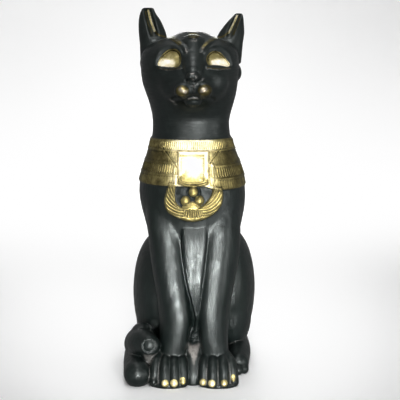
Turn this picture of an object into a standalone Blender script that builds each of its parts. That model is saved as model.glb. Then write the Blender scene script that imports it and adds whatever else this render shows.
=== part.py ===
"""A seated cat statue in the ancient Egyptian manner, cast in one piece, with a collar and a winged scarab.

Metres, +Z up. The cat faces -Y, its left side is at +X, and the origin lies on the ground below the neck.
The form is a free one, so its places and radii are shares of the statue's height: each number in the tables
below is a hundredth of STATUE_HEIGHT, which is what at() turns into metres.
"""

import math

import bmesh
import bpy
import numpy as np
from mathutils import Matrix, Vector

# The whole statue
STATUE_HEIGHT = 0.500
HUNDREDTH = STATUE_HEIGHT / 100
RING_POINTS = 40
BELOW_GROUND = -2.4

# Skins: how fine the closed skin round the masses is, and how often it is softened
TRUNK_VOXEL = 0.9
TRUNK_SOFTENINGS = 4
STATUE_VOXEL = 0.40
STATUE_SOFTENINGS = 2
TRIANGLES = 9400

# The trunk from the ground to the throat: height, centre x, half width, front, back
TRUNK_SECTIONS = (
    (BELOW_GROUND, 0.0, 8.6, -10.4, 22.6),
    (6.2, 0.0, 9.8, -12.4, 23.4),
    (11.4, 0.0, 10.2, -13.6, 23.2),
    (16.6, 0.0, 10.4, -14.4, 22.6),
    (22.0, 0.0, 10.7, -15.0, 21.4),
    (27.4, 0.1, 11.1, -15.6, 19.8),
    (32.0, 0.2, 11.8, -16.2, 18.0),
    (36.4, 0.2, 12.7, -17.1, 16.2),
    (39.8, 0.2, 13.2, -17.6, 14.9),
    (43.0, 0.1, 13.9, -17.9, 13.7),
    (46.0, 0.0, 14.5, -18.0, 12.7),
    (49.4, -0.2, 14.8, -17.7, 11.6),
    (52.8, -0.3, 14.5, -16.9, 10.6),
    (56.2, -0.2, 13.6, -15.7, 9.6),
    (59.6, -0.3, 12.4, -14.4, 8.6),
    (63.0, -0.4, 11.3, -13.2, 7.7),
    (66.4, -0.5, 10.7, -12.4, 6.9),
    (69.8, -0.6, 10.6, -12.0, 6.4),
    (73.2, -0.4, 11.2, -12.0, 6.2),
    (76.0, -0.4, 11.8, -12.4, 6.2),
)
TRUNK_SQUARENESS = 2.3

# The skull from the throat to the crown, in the same columns
SKULL_SECTIONS = (
    (68.0, -0.5, 10.3, -11.4, 6.0),
    (71.0, -0.5, 10.8, -12.2, 6.0),
    (74.0, -0.4, 11.5, -13.6, 6.3),
    (77.0, -0.5, 12.4, -14.9, 6.8),
    (80.0, -0.8, 13.1, -15.7, 7.1),
    (83.0, -0.8, 13.4, -16.0, 7.1),
    (86.0, -0.9, 13.4, -15.8, 6.6),
    (88.6, -0.7, 12.8, -14.8, 5.4),
    (90.6, -0.4, 10.2, -13.2, 3.6),
    (92.2, -0.1, 6.4, -10.8, 1.2),
    (93.7, 0.0, 3.0, -8.0, -2.0),
)
SKULL_SQUARENESS = 2.3

# The face: centre and radii of each mass
MUZZLE = ((0.0, -16.4, 79.2), (5.4, 4.9, 4.2))
CHEEKS = ((0.0, -12.4, 80.6), (9.6, 6.0, 7.0))
NOSE = ((0.0, -20.2, 81.9), (1.9, 1.4, 1.4))
CHIN = ((0.0, -17.3, 75.6), (2.3, 2.0, 1.7))
PAD = ((2.65, -19.6, 78.4), (2.3, 2.3, 2.1))
NOSE_BRIDGE = ((0.0, -10.6, 88.8), (0.0, -12.6, 85.8), (0.0, -17.2, 83.0))
NOSE_BRIDGE_RADII = (4.2, 4.2, 2.8)
EAR_LOBES = (((11.4, -4.0, 82.6), (1.9, 2.6, 2.6)), ((-13.2, -4.0, 85.2), (1.3, 2.6, 2.4)))

# Each ear from its root to its tip: height, centre x, centre y, half width, half depth
RIGHT_EAR = (
    (85.0, -10.0, -2.8, 4.4, 3.6),
    (90.0, -10.7, -2.0, 3.9, 3.1),
    (93.4, -11.2, -1.4, 3.7, 2.6),
    (96.6, -11.9, -0.6, 3.0, 2.1),
    (98.6, -12.4, 0.0, 2.2, 1.6),
    (100.1, -12.4, 0.3, 1.5, 1.2),
)
LEFT_EAR = (
    (85.0, 9.0, -2.8, 4.2, 3.6),
    (89.6, 9.6, -2.0, 4.0, 3.1),
    (93.2, 10.6, -1.4, 3.5, 2.5),
    (96.0, 11.6, -0.6, 2.4, 1.9),
    (97.9, 12.4, 0.0, 1.4, 1.3),
    (98.6, 12.6, 0.3, 0.9, 0.9),
)

# The forelegs, from below the ground to the shoulder: height, the right one's centre x, the left one's, how far
# the front of each is drawn sideways, then centre y, half width and half depth of both
FORELEG_SECTIONS = (
    (BELOW_GROUND, -5.6, 5.9, 0.0, 0.0, -15.8, 4.1, 4.6),
    (4.0, -5.6, 5.9, 0.2, 0.0, -16.0, 4.1, 4.8),
    (8.0, -5.6, 5.9, 0.6, -0.2, -16.4, 3.8, 4.9),
    (11.0, -5.4, 5.8, 1.1, -0.7, -16.4, 3.8, 5.0),
    (15.6, -5.3, 5.9, 1.6, -1.1, -16.2, 3.9, 5.2),
    (19.0, -5.6, 6.3, 1.8, -1.8, -15.9, 3.9, 5.3),
    (24.0, -6.1, 7.0, 1.2, -1.9, -15.3, 4.0, 5.3),
    (30.0, -7.0, 7.9, 1.1, -2.5, -14.3, 4.2, 5.3),
    (36.6, -7.8, 8.8, 1.1, -2.5, -12.9, 4.2, 5.4),
    (42.0, -8.3, 8.8, 0.6, -2.3, -11.6, 4.2, 5.6),
    (46.5, -8.6, 8.9, 0.4, -1.8, -9.8, 4.2, 5.4),
    (50.0, -8.7, 8.9, 0.8, -0.8, -8.4, 3.2, 4.4),
)
FORELEG_SQUARENESS = 2.8
# The flat strip of chest between the forelegs narrows to a point, a little to the cat's left: height, centre x,
# half width, front, back. A valley runs down each side of it.
CHEST_STRIP = (
    (4.0, 0.3, 1.6, -16.8, -10.0),
    (11.0, 0.4, 1.2, -17.4, -10.0),
    (15.0, 0.9, 0.4, -18.2, -10.0),
    (18.0, 1.05, 0.5, -19.6, -10.0),
    (25.6, 0.55, 1.9, -20.1, -10.0),
    (33.0, 0.3, 3.0, -19.4, -10.0),
    (38.0, 0.35, 3.45, -18.7, -10.0),
    (41.5, 0.35, 3.6, -17.8, -10.0),
    (44.0, 0.35, 3.7, -16.9, -10.0),
)
STRIP_SQUARENESS = 8.0
VALLEY_DEPTH, VALLEY_WIDTH = 1.7, 1.5
PAW = ((5.9, -18.4, 2.6), (4.9, 5.9, 5.3))
# One row for each toe, the cat's left paw's first: x at the ankle, x at the claw, reach forward, radius
TOES = (
    (3.5, 2.7, -24.3, 1.3),
    (5.4, 5.2, -25.2, 1.4),
    (7.6, 8.2, -25.0, 1.45),
    (9.0, 10.9, -23.6, 1.4),
    (-3.4, -2.6, -24.3, 1.3),
    (-5.2, -5.0, -25.2, 1.35),
    (-7.2, -7.6, -25.1, 1.4),
    (-8.8, -10.5, -23.8, 1.4),
)
TOE_ROOT_Y = -18.2
TOE_ROOT_HEIGHT = 6.9
TOE_KNUCKLE_HEIGHT = 5.4
TOE_TIP_HEIGHT = 1.1
# The web between the paws slopes down to the front, in the chest strip's columns
PAW_WEB = (
    (BELOW_GROUND, 0.1, 2.2, -23.6, -12.0),
    (1.5, 0.1, 2.2, -23.6, -12.0),
    (4.5, 0.1, 2.4, -22.6, -12.0),
    (6.8, 0.2, 2.5, -21.0, -12.0),
    (9.0, 0.2, 2.2, -19.4, -12.0),
    (10.4, 0.3, 1.6, -17.8, -12.0),
)
# The low sole under each row of toes: centre x, centre y, half width and half depth
SOLES = ((6.8, -19.4, 5.6, 6.8), (-6.4, -19.4, 5.3, 6.8))
SOLE_HEIGHT = 0.8
SOLE_SQUARENESS = 2.6

# The hind legs
THIGH_MASSES = (
    ((10.4, 7.2, 19.4), (7.4, 14.6, 17.4)),
    ((10.9, 2.4, 12.6), (5.8, 9.0, 10.8)),
)
THIGH_SHIFT = (0.3, 0.0, 0.6)
RUMP = ((0.0, 9.6, 13.6), (14.2, 13.6, 18.0))
# Low filling that closes the underside between the haunches, the feet and the tail
BASE_FILL = (
    (BELOW_GROUND, -0.4, 14.0, -18.0, 21.0),
    (0.6, -0.4, 14.0, -18.0, 21.0),
    (2.8, -0.4, 13.2, -17.2, 20.2),
)
FILL_SQUARENESS = 3.0
HIND_FOOT = ((12.6, 10.0, 3.2), (13.0, -2.0, 3.2), (12.6, -10.4, 2.4))
HIND_FOOT_RADII = (3.7, 3.5, 3.0)
HIND_TOES = ((10.8, -13.4), (12.5, -14.0), (14.1, -12.9))
HIND_TOE_RADIUS = 1.35
HIND_TOE_HEIGHT = 1.1
HIND_TOE_ROOT = (5.0, 3.2)

# The tail lies on the ground along the cat's right side, and its tip curls up against the foreleg
TAIL = (
    (-1.0, 21.4, 5.4),
    (-7.0, 21.4, 4.2),
    (-12.6, 16.8, 3.3),
    (-15.3, 9.0, 2.9),
    (-15.8, 0.0, 2.9),
    (-15.7, -9.0, 2.9),
    (-15.3, -16.4, 2.9),
    (-14.9, -22.2, 2.8),
)
TAIL_RADII = (3.6, 3.8, 3.8, 3.8, 3.7, 3.7, 3.7, 3.7)
TAIL_TIP = ((-14.6, -10.0, 7.6), (-13.6, -15.6, 9.4), (-11.8, -19.4, 10.0))
TAIL_TIP_RADII = (4.6, 3.9, 3.0)
TAIL_TIP_FOOT = ((-11.9, -19.6, 8.4), (-12.2, -20.0, 4.8))
TAIL_TIP_FOOT_RADII = (2.2, 1.0)
TAIL_BULK = ((-14.1, -10.4, 7.2), (4.2, 7.4, 6.4))
TAIL_NOOK_FILL = ((-11.6, -16.0, 3.0), (2.6, 4.0, 4.4))

# Relief of the collar: heights of its rows' edges, and how far it stands out
COLLAR_EDGES = (52.9, 55.8, 58.9, 62.0, 64.8)
COLLAR_RAISE = 0.42
CORD_RAISE = 0.2
CORD_HALF_WIDTH = 0.4
# Behind this y the collar slopes up, and on the cat's left its lower rows sag
COLLAR_RISE_FROM = -2.0
COLLAR_RISE_BEHIND = 0.16
COLLAR_SAG = 1.1
SAG_FROM, SAG_OVER = 2.5, 4.0
SAG_TOP, SAG_HEIGHT = 62.0, 6.0

# The plate on the chest, flat on a slope of its own: its outline and the panel sunk in it
PLATE_OUTLINE = ((-4.0, 62.1), (4.1, 62.1), (4.1, 53.6), (2.2, 52.9), (0.0, 52.7), (-2.2, 52.9), (-4.0, 53.6))
PANEL_OUTLINE = ((-3.35, 60.4), (3.0, 60.4), (3.0, 54.1), (0.0, 53.6), (-3.35, 54.1))
PLATE_TOP = 62.1
PLATE_FRONT_AT_TOP = -14.5
PLATE_SLOPE = 0.34
PANEL_SINK = 0.22

# The winged scarab below it: a crescent of two wings, then centre, radii and raise of its disc, its forelegs
# and its body
WINGS_OUTER = (
    (-6.3, 53.9), (-7.4, 50.6), (-7.7, 48.5), (-7.0, 46.3), (-5.2, 44.9), (-2.6, 43.9), (0.0, 43.5),
    (2.4, 44.0), (4.4, 44.8), (6.2, 46.0), (7.6, 47.8), (8.1, 50.2), (7.8, 52.4),
)
WINGS_INNER = (
    (5.3, 52.9), (4.8, 50.6), (3.2, 48.5), (1.6, 47.4), (-0.6, 47.2), (-3.0, 47.4), (-4.4, 48.6), (-4.7, 50.4),
    (-4.6, 53.6),
)
WINGS_RAISE = 0.6
SCARAB_PARTS = (
    ((0.1, 51.6), (0.95, 1.15), 0.75),
    ((-2.0, 49.2), (1.05, 1.35), 0.8),
    ((1.7, 49.3), (1.05, 1.3), 0.8),
    ((-0.4, 47.0), (2.6, 2.0), 0.7),
)

# The eyes, right one first, and the hollow that each lies in
EYES = (
    ((-9.5, 84.9), (-8.3, 87.3), (-5.6, 89.1), (-3.4, 88.0), (-3.2, 85.4), (-4.4, 84.4), (-7.4, 84.3)),
    ((9.9, 84.8), (8.3, 87.1), (6.0, 88.6), (4.0, 87.6), (3.5, 86.0), (4.3, 84.8), (7.6, 84.5)),
)
EYE_BOTTOM, EYE_TOP = 84.4, 89.0
EYE_SINK_BOTTOM, EYE_SINK_TOP = 0.1, 1.2
EYEBALL, EYEBALL_SLOPE = 0.35, 2.0
SOCKETS = ((-6.4, 86.2), (6.7, 86.1))
SOCKET_RADII = (4.8, 4.2)
SOCKET_SINK = 0.7

# Lines of relief on the face: places (x, height), half width, and the raise or, below 0, the sink
UPPER_LIDS = (
    (((-2.7, 87.4), (-3.6, 89.3), (-5.6, 90.1), (-8.4, 89.2), (-9.8, 87.2), (-10.4, 85.0)), 1.3, 0.4),
    (((3.1, 87.2), (4.2, 89.2), (6.6, 90.0), (8.8, 89.1), (10.1, 87.2), (10.9, 85.0)), 1.3, 0.4),
)
LOWER_LIDS = (
    (((-9.4, 84.1), (-6.6, 83.7), (-3.2, 84.2)), 0.5, 0.3),
    (((3.6, 84.3), (6.6, 83.9), (10.0, 84.0)), 0.5, 0.3),
)
BROWS = (
    (((-9.8, 93.0), (-6.6, 92.2), (-4.1, 91.0), (-2.8, 90.0), (-2.0, 88.8)), 0.95, 0.6),
    (((8.6, 92.8), (6.0, 91.9), (4.2, 90.7), (3.2, 89.8), (2.6, 88.8)), 0.95, 0.6),
)
NOSE_LINES = (
    (((-1.9, 81.1), (0.1, 79.6), (2.1, 81.1)), 0.5, -0.4),
    (((0.0, 79.7), (0.0, 78.4), (0.0, 77.0)), 0.5, -0.35),
)
MOUTH = (((-5.4, 75.9), (-3.7, 76.6), (0.0, 77.0), (3.7, 76.6), (5.4, 75.9)), 0.9, -0.45)
BROW_SCARAB = ((0.0, 92.6), (1.6, 0.95), 0.35)
EAR_HOLLOWS = (
    (((-12.5, 99.6), (-11.1, 94.6), (-10.2, 91.0)), 1.5, -1.7),
    (((12.4, 98.4), (10.4, 93.6), (9.4, 90.6)), 1.25, -1.5),
)

# The hollow in the end of the tail, inside its rim, and the claws
TAIL_HOLLOW_CENTRE = (-11.8, 10.4)
TAIL_HOLLOW_RADIUS, TAIL_HOLLOW_SINK = 2.0, 0.5
CLAW_HEIGHT = 1.5
CLAW_RADII = (0.75, 0.85)
CLAW_RAISE = 0.22

# How wide the sloping edge of a raised or sunk field is
EDGE_SLOPE = 0.4
# The part of the surface that each kind of relief is kept to: lowest height, highest height, and its back
SCARAB_REGION = (43.0, 53.9, 0.0)
FACE_REGION = (74.0, 96.0, -6.0)
EAR_REGION = (91.5, 102.0, 6.0)
FOOT_REGION = (-1.0, 14.0, -12.0)
PLATE_REGION = (51.0, 64.0, 0.0)


def at(*shares):
    """Hundredths of the height as a point or a size in metres."""
    return Vector(shares) * HUNDREDTH


def smooth_rows(rows, steps, closed=False):
    """Rows of numbers read along a smooth curve that passes through each of the given rows."""
    given = np.array(rows, float)
    if closed:
        held = np.vstack([given[-1], given, given[:2]])
    else:
        held = np.vstack([2 * given[0] - given[1], given, 2 * given[-1] - given[-2]])
    found = []
    for a, b, c, d in zip(held, held[1:], held[2:], held[3:]):
        for t in np.arange(steps) / steps:
            bend = (2 * a - 5 * b + 4 * c - d) * t**2 + (3 * b - a - 3 * c + d) * t**3
            found.append(b + ((c - a) * t + bend) / 2)
    found.append(held[-2])
    return np.array(found)


def skin_of_rings(rings):
    """A closed mesh with these rings of points one above another and a cap at each end."""
    count, around = len(rings), len(rings[0])
    points = [tuple(p) for ring in rings for p in ring]
    faces = []
    for low in range(0, (count - 1) * around, around):
        for k in range(around):
            beside = (k + 1) % around
            faces.append((low + k, low + beside, low + around + beside, low + around + k))
    faces.append(tuple(reversed(range(around))))
    faces.append(tuple((count - 1) * around + k for k in range(around)))
    mesh = bpy.data.meshes.new("rings")
    mesh.from_pydata(points, [], faces)
    shape = bmesh.new()
    shape.from_mesh(mesh)
    bmesh.ops.recalc_face_normals(shape, faces=shape.faces)
    shape.to_mesh(mesh)
    shape.free()
    return mesh


def stack(sections, squareness=2.0, steps=4):
    """A form from level sections, each (height, centre x, centre y, half width, half depth, front's shift in x)."""
    rings = []
    turns = np.linspace(0, 2 * math.pi, RING_POINTS, endpoint=False)
    power = 2 / squareness
    across = np.sign(np.cos(turns)) * np.abs(np.cos(turns)) ** power
    along = np.sign(np.sin(turns)) * np.abs(np.sin(turns)) ** power
    for height, x, y, width, depth, drawn in smooth_rows(sections, steps):
        xs = x + width * across + drawn * np.clip(-along, 0, None)
        rings.append([at(*place, height) for place in zip(xs, y + depth * along)])
    return skin_of_rings(rings)


def straight(sections):
    """Sections whose front isn't shifted."""
    return [(*section, 0.0) for section in sections]


def front_to_back(sections):
    """Sections given by their front and back as sections given by their centre and half depth."""
    found = []
    for height, x, width, front, back in sections:
        found.append((height, x, (front + back) / 2, width, (back - front) / 2, 0.0))
    return found


def ball(centre, radii):
    """An ellipsoid."""
    shape = bmesh.new()
    place = Matrix.Translation(at(*centre)) @ Matrix.Diagonal((*at(*radii), 1))
    bmesh.ops.create_icosphere(shape, subdivisions=4, radius=1, matrix=place)
    mesh = bpy.data.meshes.new("ball")
    shape.to_mesh(mesh)
    shape.free()
    return mesh


def limb(path, radii, steps=5):
    """A round tube along a smooth path, with a rounded end at each side."""
    rows = smooth_rows([(*p, r) for p, r in zip(path, radii)], steps)
    centres, sizes = rows[:, :3], rows[:, 3]
    ways = np.gradient(centres, axis=0)
    ways /= np.linalg.norm(ways, axis=1)[:, None]
    turns = np.linspace(0, 2 * math.pi, RING_POINTS, endpoint=False)
    side = np.cross(ways[0], (0.0, 0.0, 1.0))
    if np.linalg.norm(side) < 0.1:
        side = np.cross(ways[0], (1.0, 0.0, 0.0))

    def ring(centre, way, size):
        nonlocal side
        side = side - way * (side @ way)
        side /= np.linalg.norm(side)
        other = np.cross(way, side)
        return [at(*(centre + size * (math.cos(t) * side + math.sin(t) * other))) for t in turns]

    def end(k, sign):
        """The rings of a rounded end, from the tube's end outwards."""
        way, size = ways[k], sizes[k]
        leans = np.radians((20, 40, 60, 80))
        return [(centres[k] + sign * way * size * math.sin(a), way, size * math.cos(a)) for a in leans]

    places = end(0, -1)[::-1] + list(zip(centres, ways, sizes)) + end(-1, 1)
    return skin_of_rings([ring(*place) for place in places])


def mirrored(point, side):
    """A place on the cat's left, or the same place on its right when side is -1."""
    return (point[0] * side, *point[1:])


def evaluated_mesh(mesh, add_modifiers):
    """The mesh as the modifiers that add_modifiers puts on it leave it."""
    obj = bpy.data.objects.new("work", mesh)
    bpy.context.scene.collection.objects.link(obj)
    add_modifiers(obj)
    graph = bpy.context.evaluated_depsgraph_get()
    made = bpy.data.meshes.new_from_object(obj.evaluated_get(graph))
    bpy.data.objects.remove(obj)
    return made


def fused(meshes, voxel, softenings, rounded=False):
    """One closed skin round all these closed meshes, with its creases softened."""
    together = bmesh.new()
    for mesh in meshes:
        together.from_mesh(mesh)
    mesh = bpy.data.meshes.new("together")
    together.to_mesh(mesh)
    together.free()

    def skin(obj):
        remesh = obj.modifiers.new("skin", "REMESH")
        remesh.mode = "VOXEL"
        remesh.voxel_size = voxel * HUNDREDTH
        soften = obj.modifiers.new("soften", "SMOOTH")
        soften.factor = 0.5
        soften.iterations = round(softenings)
        if rounded:
            smooth = obj.modifiers.new("rounded", "SUBSURF")
            smooth.levels = smooth.render_levels = 1

    return evaluated_mesh(mesh, skin)


def foreleg(side):
    sections = []
    for height, right_x, left_x, right_drawn, left_drawn, *rest in FORELEG_SECTIONS:
        x, drawn = (left_x, left_drawn) if side > 0 else (right_x, right_drawn)
        sections.append((height, x, *rest, drawn))
    return stack(sections, FORELEG_SQUARENESS)


def valley_floor():
    """The sections of the chest behind its strip."""
    return [(*row[:2], row[2] + VALLEY_WIDTH, row[3] + VALLEY_DEPTH, row[4]) for row in CHEST_STRIP]


def trunk_masses():
    """The masses that run broadly into each other."""
    masses = [
        ball(*RUMP),
        stack(front_to_back(BASE_FILL), FILL_SQUARENESS),
        stack(front_to_back(TRUNK_SECTIONS), TRUNK_SQUARENESS),
        stack(front_to_back(SKULL_SECTIONS), SKULL_SQUARENESS),
        stack(front_to_back(valley_floor()), FILL_SQUARENESS),
        ball(*MUZZLE),
        ball(*CHEEKS),
    ]
    for side in (-1, 1):
        for (x, y, height), radii in THIGH_MASSES:
            masses.append(ball((x * side + THIGH_SHIFT[0], y, height + THIGH_SHIFT[2] * side), radii))
        masses.append(foreleg(side))
    return masses


def head_masses():
    """The nose, muzzle pads, chin and ears."""
    masses = [ball(*NOSE), ball(*CHIN), limb(NOSE_BRIDGE, NOSE_BRIDGE_RADII), ball(*EAR_LOBES[0]), ball(*EAR_LOBES[1])]
    masses += [stack(straight(ear)) for ear in (RIGHT_EAR, LEFT_EAR)]
    masses += [ball(mirrored(PAD[0], side), PAD[1]) for side in (-1, 1)]
    return masses


def toe(root_x, tip_x, reach, radius):
    path = (
        (root_x, TOE_ROOT_Y, TOE_ROOT_HEIGHT),
        ((root_x + 2 * tip_x) / 3, (TOE_ROOT_Y + 2 * reach) / 3, TOE_KNUCKLE_HEIGHT),
        (tip_x, reach, TOE_TIP_HEIGHT),
    )
    return limb(path, (radius, radius * 1.05, radius))


def hind_foot_masses(side):
    masses = [limb([mirrored(p, side) for p in HIND_FOOT], HIND_FOOT_RADII)]
    for x, reach in HIND_TOES:
        path = ((x * side, reach + HIND_TOE_ROOT[0], HIND_TOE_ROOT[1]), (x * side, reach, HIND_TOE_HEIGHT))
        masses.append(limb(path, (HIND_TOE_RADIUS, HIND_TOE_RADIUS)))
    return masses


def statue_masses():
    """Everything that meets the trunk in a clear crease."""
    masses = head_masses() + [toe(*row) for row in TOES]
    for side in (-1, 1):
        masses.append(ball(mirrored(PAW[0], side), PAW[1]))
        masses += hind_foot_masses(side)
    for x, y, width, depth in SOLES:
        sole = [(height, x, y, width, depth) for height in (BELOW_GROUND, SOLE_HEIGHT)]
        masses.append(stack(straight(sole), SOLE_SQUARENESS))
    masses += [stack(front_to_back(PAW_WEB), FILL_SQUARENESS), stack(front_to_back(CHEST_STRIP), STRIP_SQUARENESS)]
    masses += [limb(TAIL, TAIL_RADII), limb(TAIL_TIP, TAIL_TIP_RADII), limb(TAIL_TIP_FOOT, TAIL_TIP_FOOT_RADII)]
    masses += [ball(*TAIL_BULK), ball(*TAIL_NOOK_FILL)]
    return masses


def outer_skin(mesh):
    """The mesh without the small pockets closed up inside it: of its separate islands, the largest."""
    shape = bmesh.new()
    shape.from_mesh(mesh)
    left = set(shape.verts)
    islands = []
    while left:
        island = [left.pop()]
        for vert in island:
            for edge in vert.link_edges:
                other = edge.other_vert(vert)
                if other in left:
                    left.remove(other)
                    island.append(other)
        islands.append(island)
    islands.sort(key=len)
    bmesh.ops.delete(shape, geom=[vert for island in islands[:-1] for vert in island], context="VERTS")
    shape.to_mesh(mesh)
    shape.free()
    return mesh


def statue_form(voxel):
    trunk = fused(trunk_masses(), TRUNK_VOXEL, TRUNK_SOFTENINGS, rounded=True)
    return fused([trunk] + statue_masses(), voxel, STATUE_SOFTENINGS)


def ramp(distance, width):
    """0 where the distance is below 0, 1 where it is above the width, and a soft slope between them."""
    t = np.clip(distance / width, 0, 1)
    return t * t * (3 - 2 * t)


def distance_to(places, line):
    """How far each place (x, height) is from a line of straight stretches."""
    nearest = np.full(len(places), np.inf)
    for a, b in zip(line[:-1], line[1:]):
        run = b - a
        share = np.clip((places - a) @ run / max(run @ run, 1e-12), 0, 1)
        nearest = np.minimum(nearest, np.linalg.norm(places - a - share[:, None] * run, axis=1))
    return nearest


def depth_inside(places, outline):
    """How far each place is inside a closed outline, below 0 outside it."""
    inside = np.zeros(len(places), bool)
    x, z = places.T
    for (ax, az), (bx, bz) in zip(outline[:-1], outline[1:]):
        if az != bz:
            crossing = ax + (z - az) * (bx - ax) / (bz - az)
            inside ^= ((az > z) != (bz > z)) & (x < crossing)
    return np.where(inside, 1, -1) * distance_to(places, outline)


def cornered(points):
    return np.array(points + points[:1], float)


def ridges(places, lines):
    """How far these rounded ridges stand out at each place, or grooves sink in where the raise is below 0."""
    total = np.zeros(len(places))
    for points, half_width, raised in lines:
        total += raised * ramp(1 - distance_to(places, smooth_rows(points, 6)) / half_width, 1)
    return total


def knob(places, centre, radii, raised):
    """A low rounded boss."""
    off = np.linalg.norm((places - centre) / radii, axis=1)
    return raised * np.sqrt(np.clip(1 - off**2, 0, 1))


def collar_level(points):
    """The height of each place, measured as if the collar lay level all round."""
    level = points[:, 2] - COLLAR_RISE_BEHIND * np.clip(points[:, 1] - COLLAR_RISE_FROM, 0, None)
    lowered = ramp(points[:, 0] - SAG_FROM, SAG_OVER) * ramp(SAG_TOP - points[:, 2], SAG_HEIGHT)
    return level + COLLAR_SAG * lowered * ramp(-points[:, 1], SAG_OVER)


def collar_relief(points):
    """How far the collar's band and the cords between its rows stand out."""
    level = collar_level(points)
    bottom, top = COLLAR_EDGES[0], COLLAR_EDGES[-1]
    out = COLLAR_RAISE * ramp(level - bottom, EDGE_SLOPE) * ramp(top - level, EDGE_SLOPE)
    for edge in COLLAR_EDGES:
        out += CORD_RAISE * ramp(1 - abs(level - edge) / CORD_HALF_WIDTH, 1)
    return out


def scarab_relief(places):
    outline = np.vstack([smooth_rows(WINGS_OUTER, 5), smooth_rows(WINGS_INNER, 5), WINGS_OUTER[:1]])
    relief = WINGS_RAISE * ramp(depth_inside(places, outline), EDGE_SLOPE)
    for centre, radii, raised in SCARAB_PARTS:
        relief = np.maximum(relief, knob(places, centre, radii, raised))
    return relief


def face_relief(places):
    lines = UPPER_LIDS + LOWER_LIDS + BROWS + NOSE_LINES + (MOUTH,)
    relief = ridges(places, lines) + knob(places, *BROW_SCARAB)
    upward = np.clip((places[:, 1] - EYE_BOTTOM) / (EYE_TOP - EYE_BOTTOM), 0, 1)
    sink = EYE_SINK_BOTTOM + (EYE_SINK_TOP - EYE_SINK_BOTTOM) * upward
    for eye in EYES:
        inside = depth_inside(places, smooth_rows(eye, 6, closed=True))
        eyeball = EYEBALL * ramp(inside, EYEBALL_SLOPE) - sink * ramp(inside, EDGE_SLOPE)
        relief = relief * ramp(EDGE_SLOPE / 2 - inside, EDGE_SLOPE) + eyeball
    for centre in SOCKETS:
        relief -= SOCKET_SINK * ramp(1 - np.linalg.norm((places - centre) / SOCKET_RADII, axis=1), 1)
    return relief


def ear_relief(places):
    """The hollow of each ear, which fades out towards its root."""
    return ridges(places, EAR_HOLLOWS) * ramp(places[:, 1] - EAR_REGION[0], 2)


def foot_relief(places):
    """The hollow in the end of the tail, and the claws."""
    inside = TAIL_HOLLOW_RADIUS - np.linalg.norm(places - TAIL_HOLLOW_CENTRE, axis=1)
    relief = -TAIL_HOLLOW_SINK * ramp(inside, EDGE_SLOPE)
    for toe_row in TOES:
        relief += knob(places, (toe_row[1], CLAW_HEIGHT), CLAW_RADII, CLAW_RAISE)
    return relief


def plate_relief(points, places):
    """How far each place moves back to lie on the plate's flat front."""
    front = PLATE_FRONT_AT_TOP - PLATE_SLOPE * (PLATE_TOP - points[:, 2])
    front += PANEL_SINK * ramp(depth_inside(places, cornered(PANEL_OUTLINE)), EDGE_SLOPE)
    share = ramp(depth_inside(places, cornered(PLATE_OUTLINE)) + EDGE_SLOPE / 3, EDGE_SLOPE)
    return share * (front - points[:, 1])


def within(points, region):
    lowest, highest, back = region
    return (points[:, 2] > lowest) & (points[:, 2] < highest) & (points[:, 1] < back)


def carved(mesh):
    """The mesh with the collar, the face and the other relief raised from it or cut into it."""
    flat = np.empty(len(mesh.vertices) * 3)
    mesh.vertices.foreach_get("co", flat)
    points = flat.reshape(-1, 3) / HUNDREDTH
    mesh.vertices.foreach_get("normal", flat)
    normals = flat.reshape(-1, 3)
    places = points[:, [0, 2]]

    level_normals = normals * (1, 1, 0)
    level_normals /= np.maximum(np.linalg.norm(level_normals, axis=1), 1e-9)[:, None]
    made = points + level_normals * collar_relief(points)[:, None]

    forward = np.zeros(len(points))
    for region, relief in (
        (SCARAB_REGION, scarab_relief),
        (FACE_REGION, face_relief),
        (EAR_REGION, ear_relief),
        (FOOT_REGION, foot_relief),
    ):
        chosen = within(points, region)
        forward[chosen] += relief(places[chosen])
    made[:, 1] -= forward * ramp(-normals[:, 1], 0.3)

    plate = within(points, PLATE_REGION)
    made[plate, 1] += plate_relief(made[plate], places[plate])
    mesh.vertices.foreach_set("co", (made * HUNDREDTH).ravel())
    mesh.update()
    return mesh


def lightened(mesh, triangles):
    """The mesh with its flatter stretches merged until about this many triangles are left."""

    def thin(obj):
        decimate = obj.modifiers.new("thin", "DECIMATE")
        decimate.ratio = triangles / (2 * len(mesh.polygons))

    return evaluated_mesh(mesh, thin)


def stood_on_ground(mesh):
    """The mesh cut off flat at the ground."""
    shape = bmesh.new()
    shape.from_mesh(mesh)
    everything = shape.verts[:] + shape.edges[:] + shape.faces[:]
    cut = bmesh.ops.bisect_plane(
        shape, geom=everything, dist=1e-7, plane_co=(0, 0, 0), plane_no=(0, 0, 1), clear_inner=True
    )
    edges = [e for e in cut["geom_cut"] if isinstance(e, bmesh.types.BMEdge)]
    bmesh.ops.holes_fill(shape, edges=edges)
    bmesh.ops.triangulate(shape, faces=[f for f in shape.faces if len(f.verts) > 4])
    bmesh.ops.recalc_face_normals(shape, faces=shape.faces)
    shape.to_mesh(mesh)
    shape.free()
    return mesh


def paint(name, colour, roughness, metallic):
    material = bpy.data.materials.new(name)
    material.use_nodes = True
    shader = material.node_tree.nodes["Principled BSDF"]
    shader.inputs["Base Color"].default_value = (*colour, 1)
    shader.inputs["Roughness"].default_value = roughness
    shader.inputs["Metallic"].default_value = metallic
    return material


def main():
    for obj in list(bpy.data.objects):
        bpy.data.objects.remove(obj)
    mesh = outer_skin(stood_on_ground(lightened(carved(statue_form(STATUE_VOXEL)), TRIANGLES)))
    mesh.name = "cat_statue"
    mesh.materials.clear()
    mesh.materials.append(paint("black_paint", (0.022, 0.024, 0.026), 0.42, 0.0))
    mesh.shade_smooth()
    statue = bpy.data.objects.new("cat_statue", mesh)
    bpy.context.scene.collection.objects.link(statue)
    return statue


main()
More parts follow.
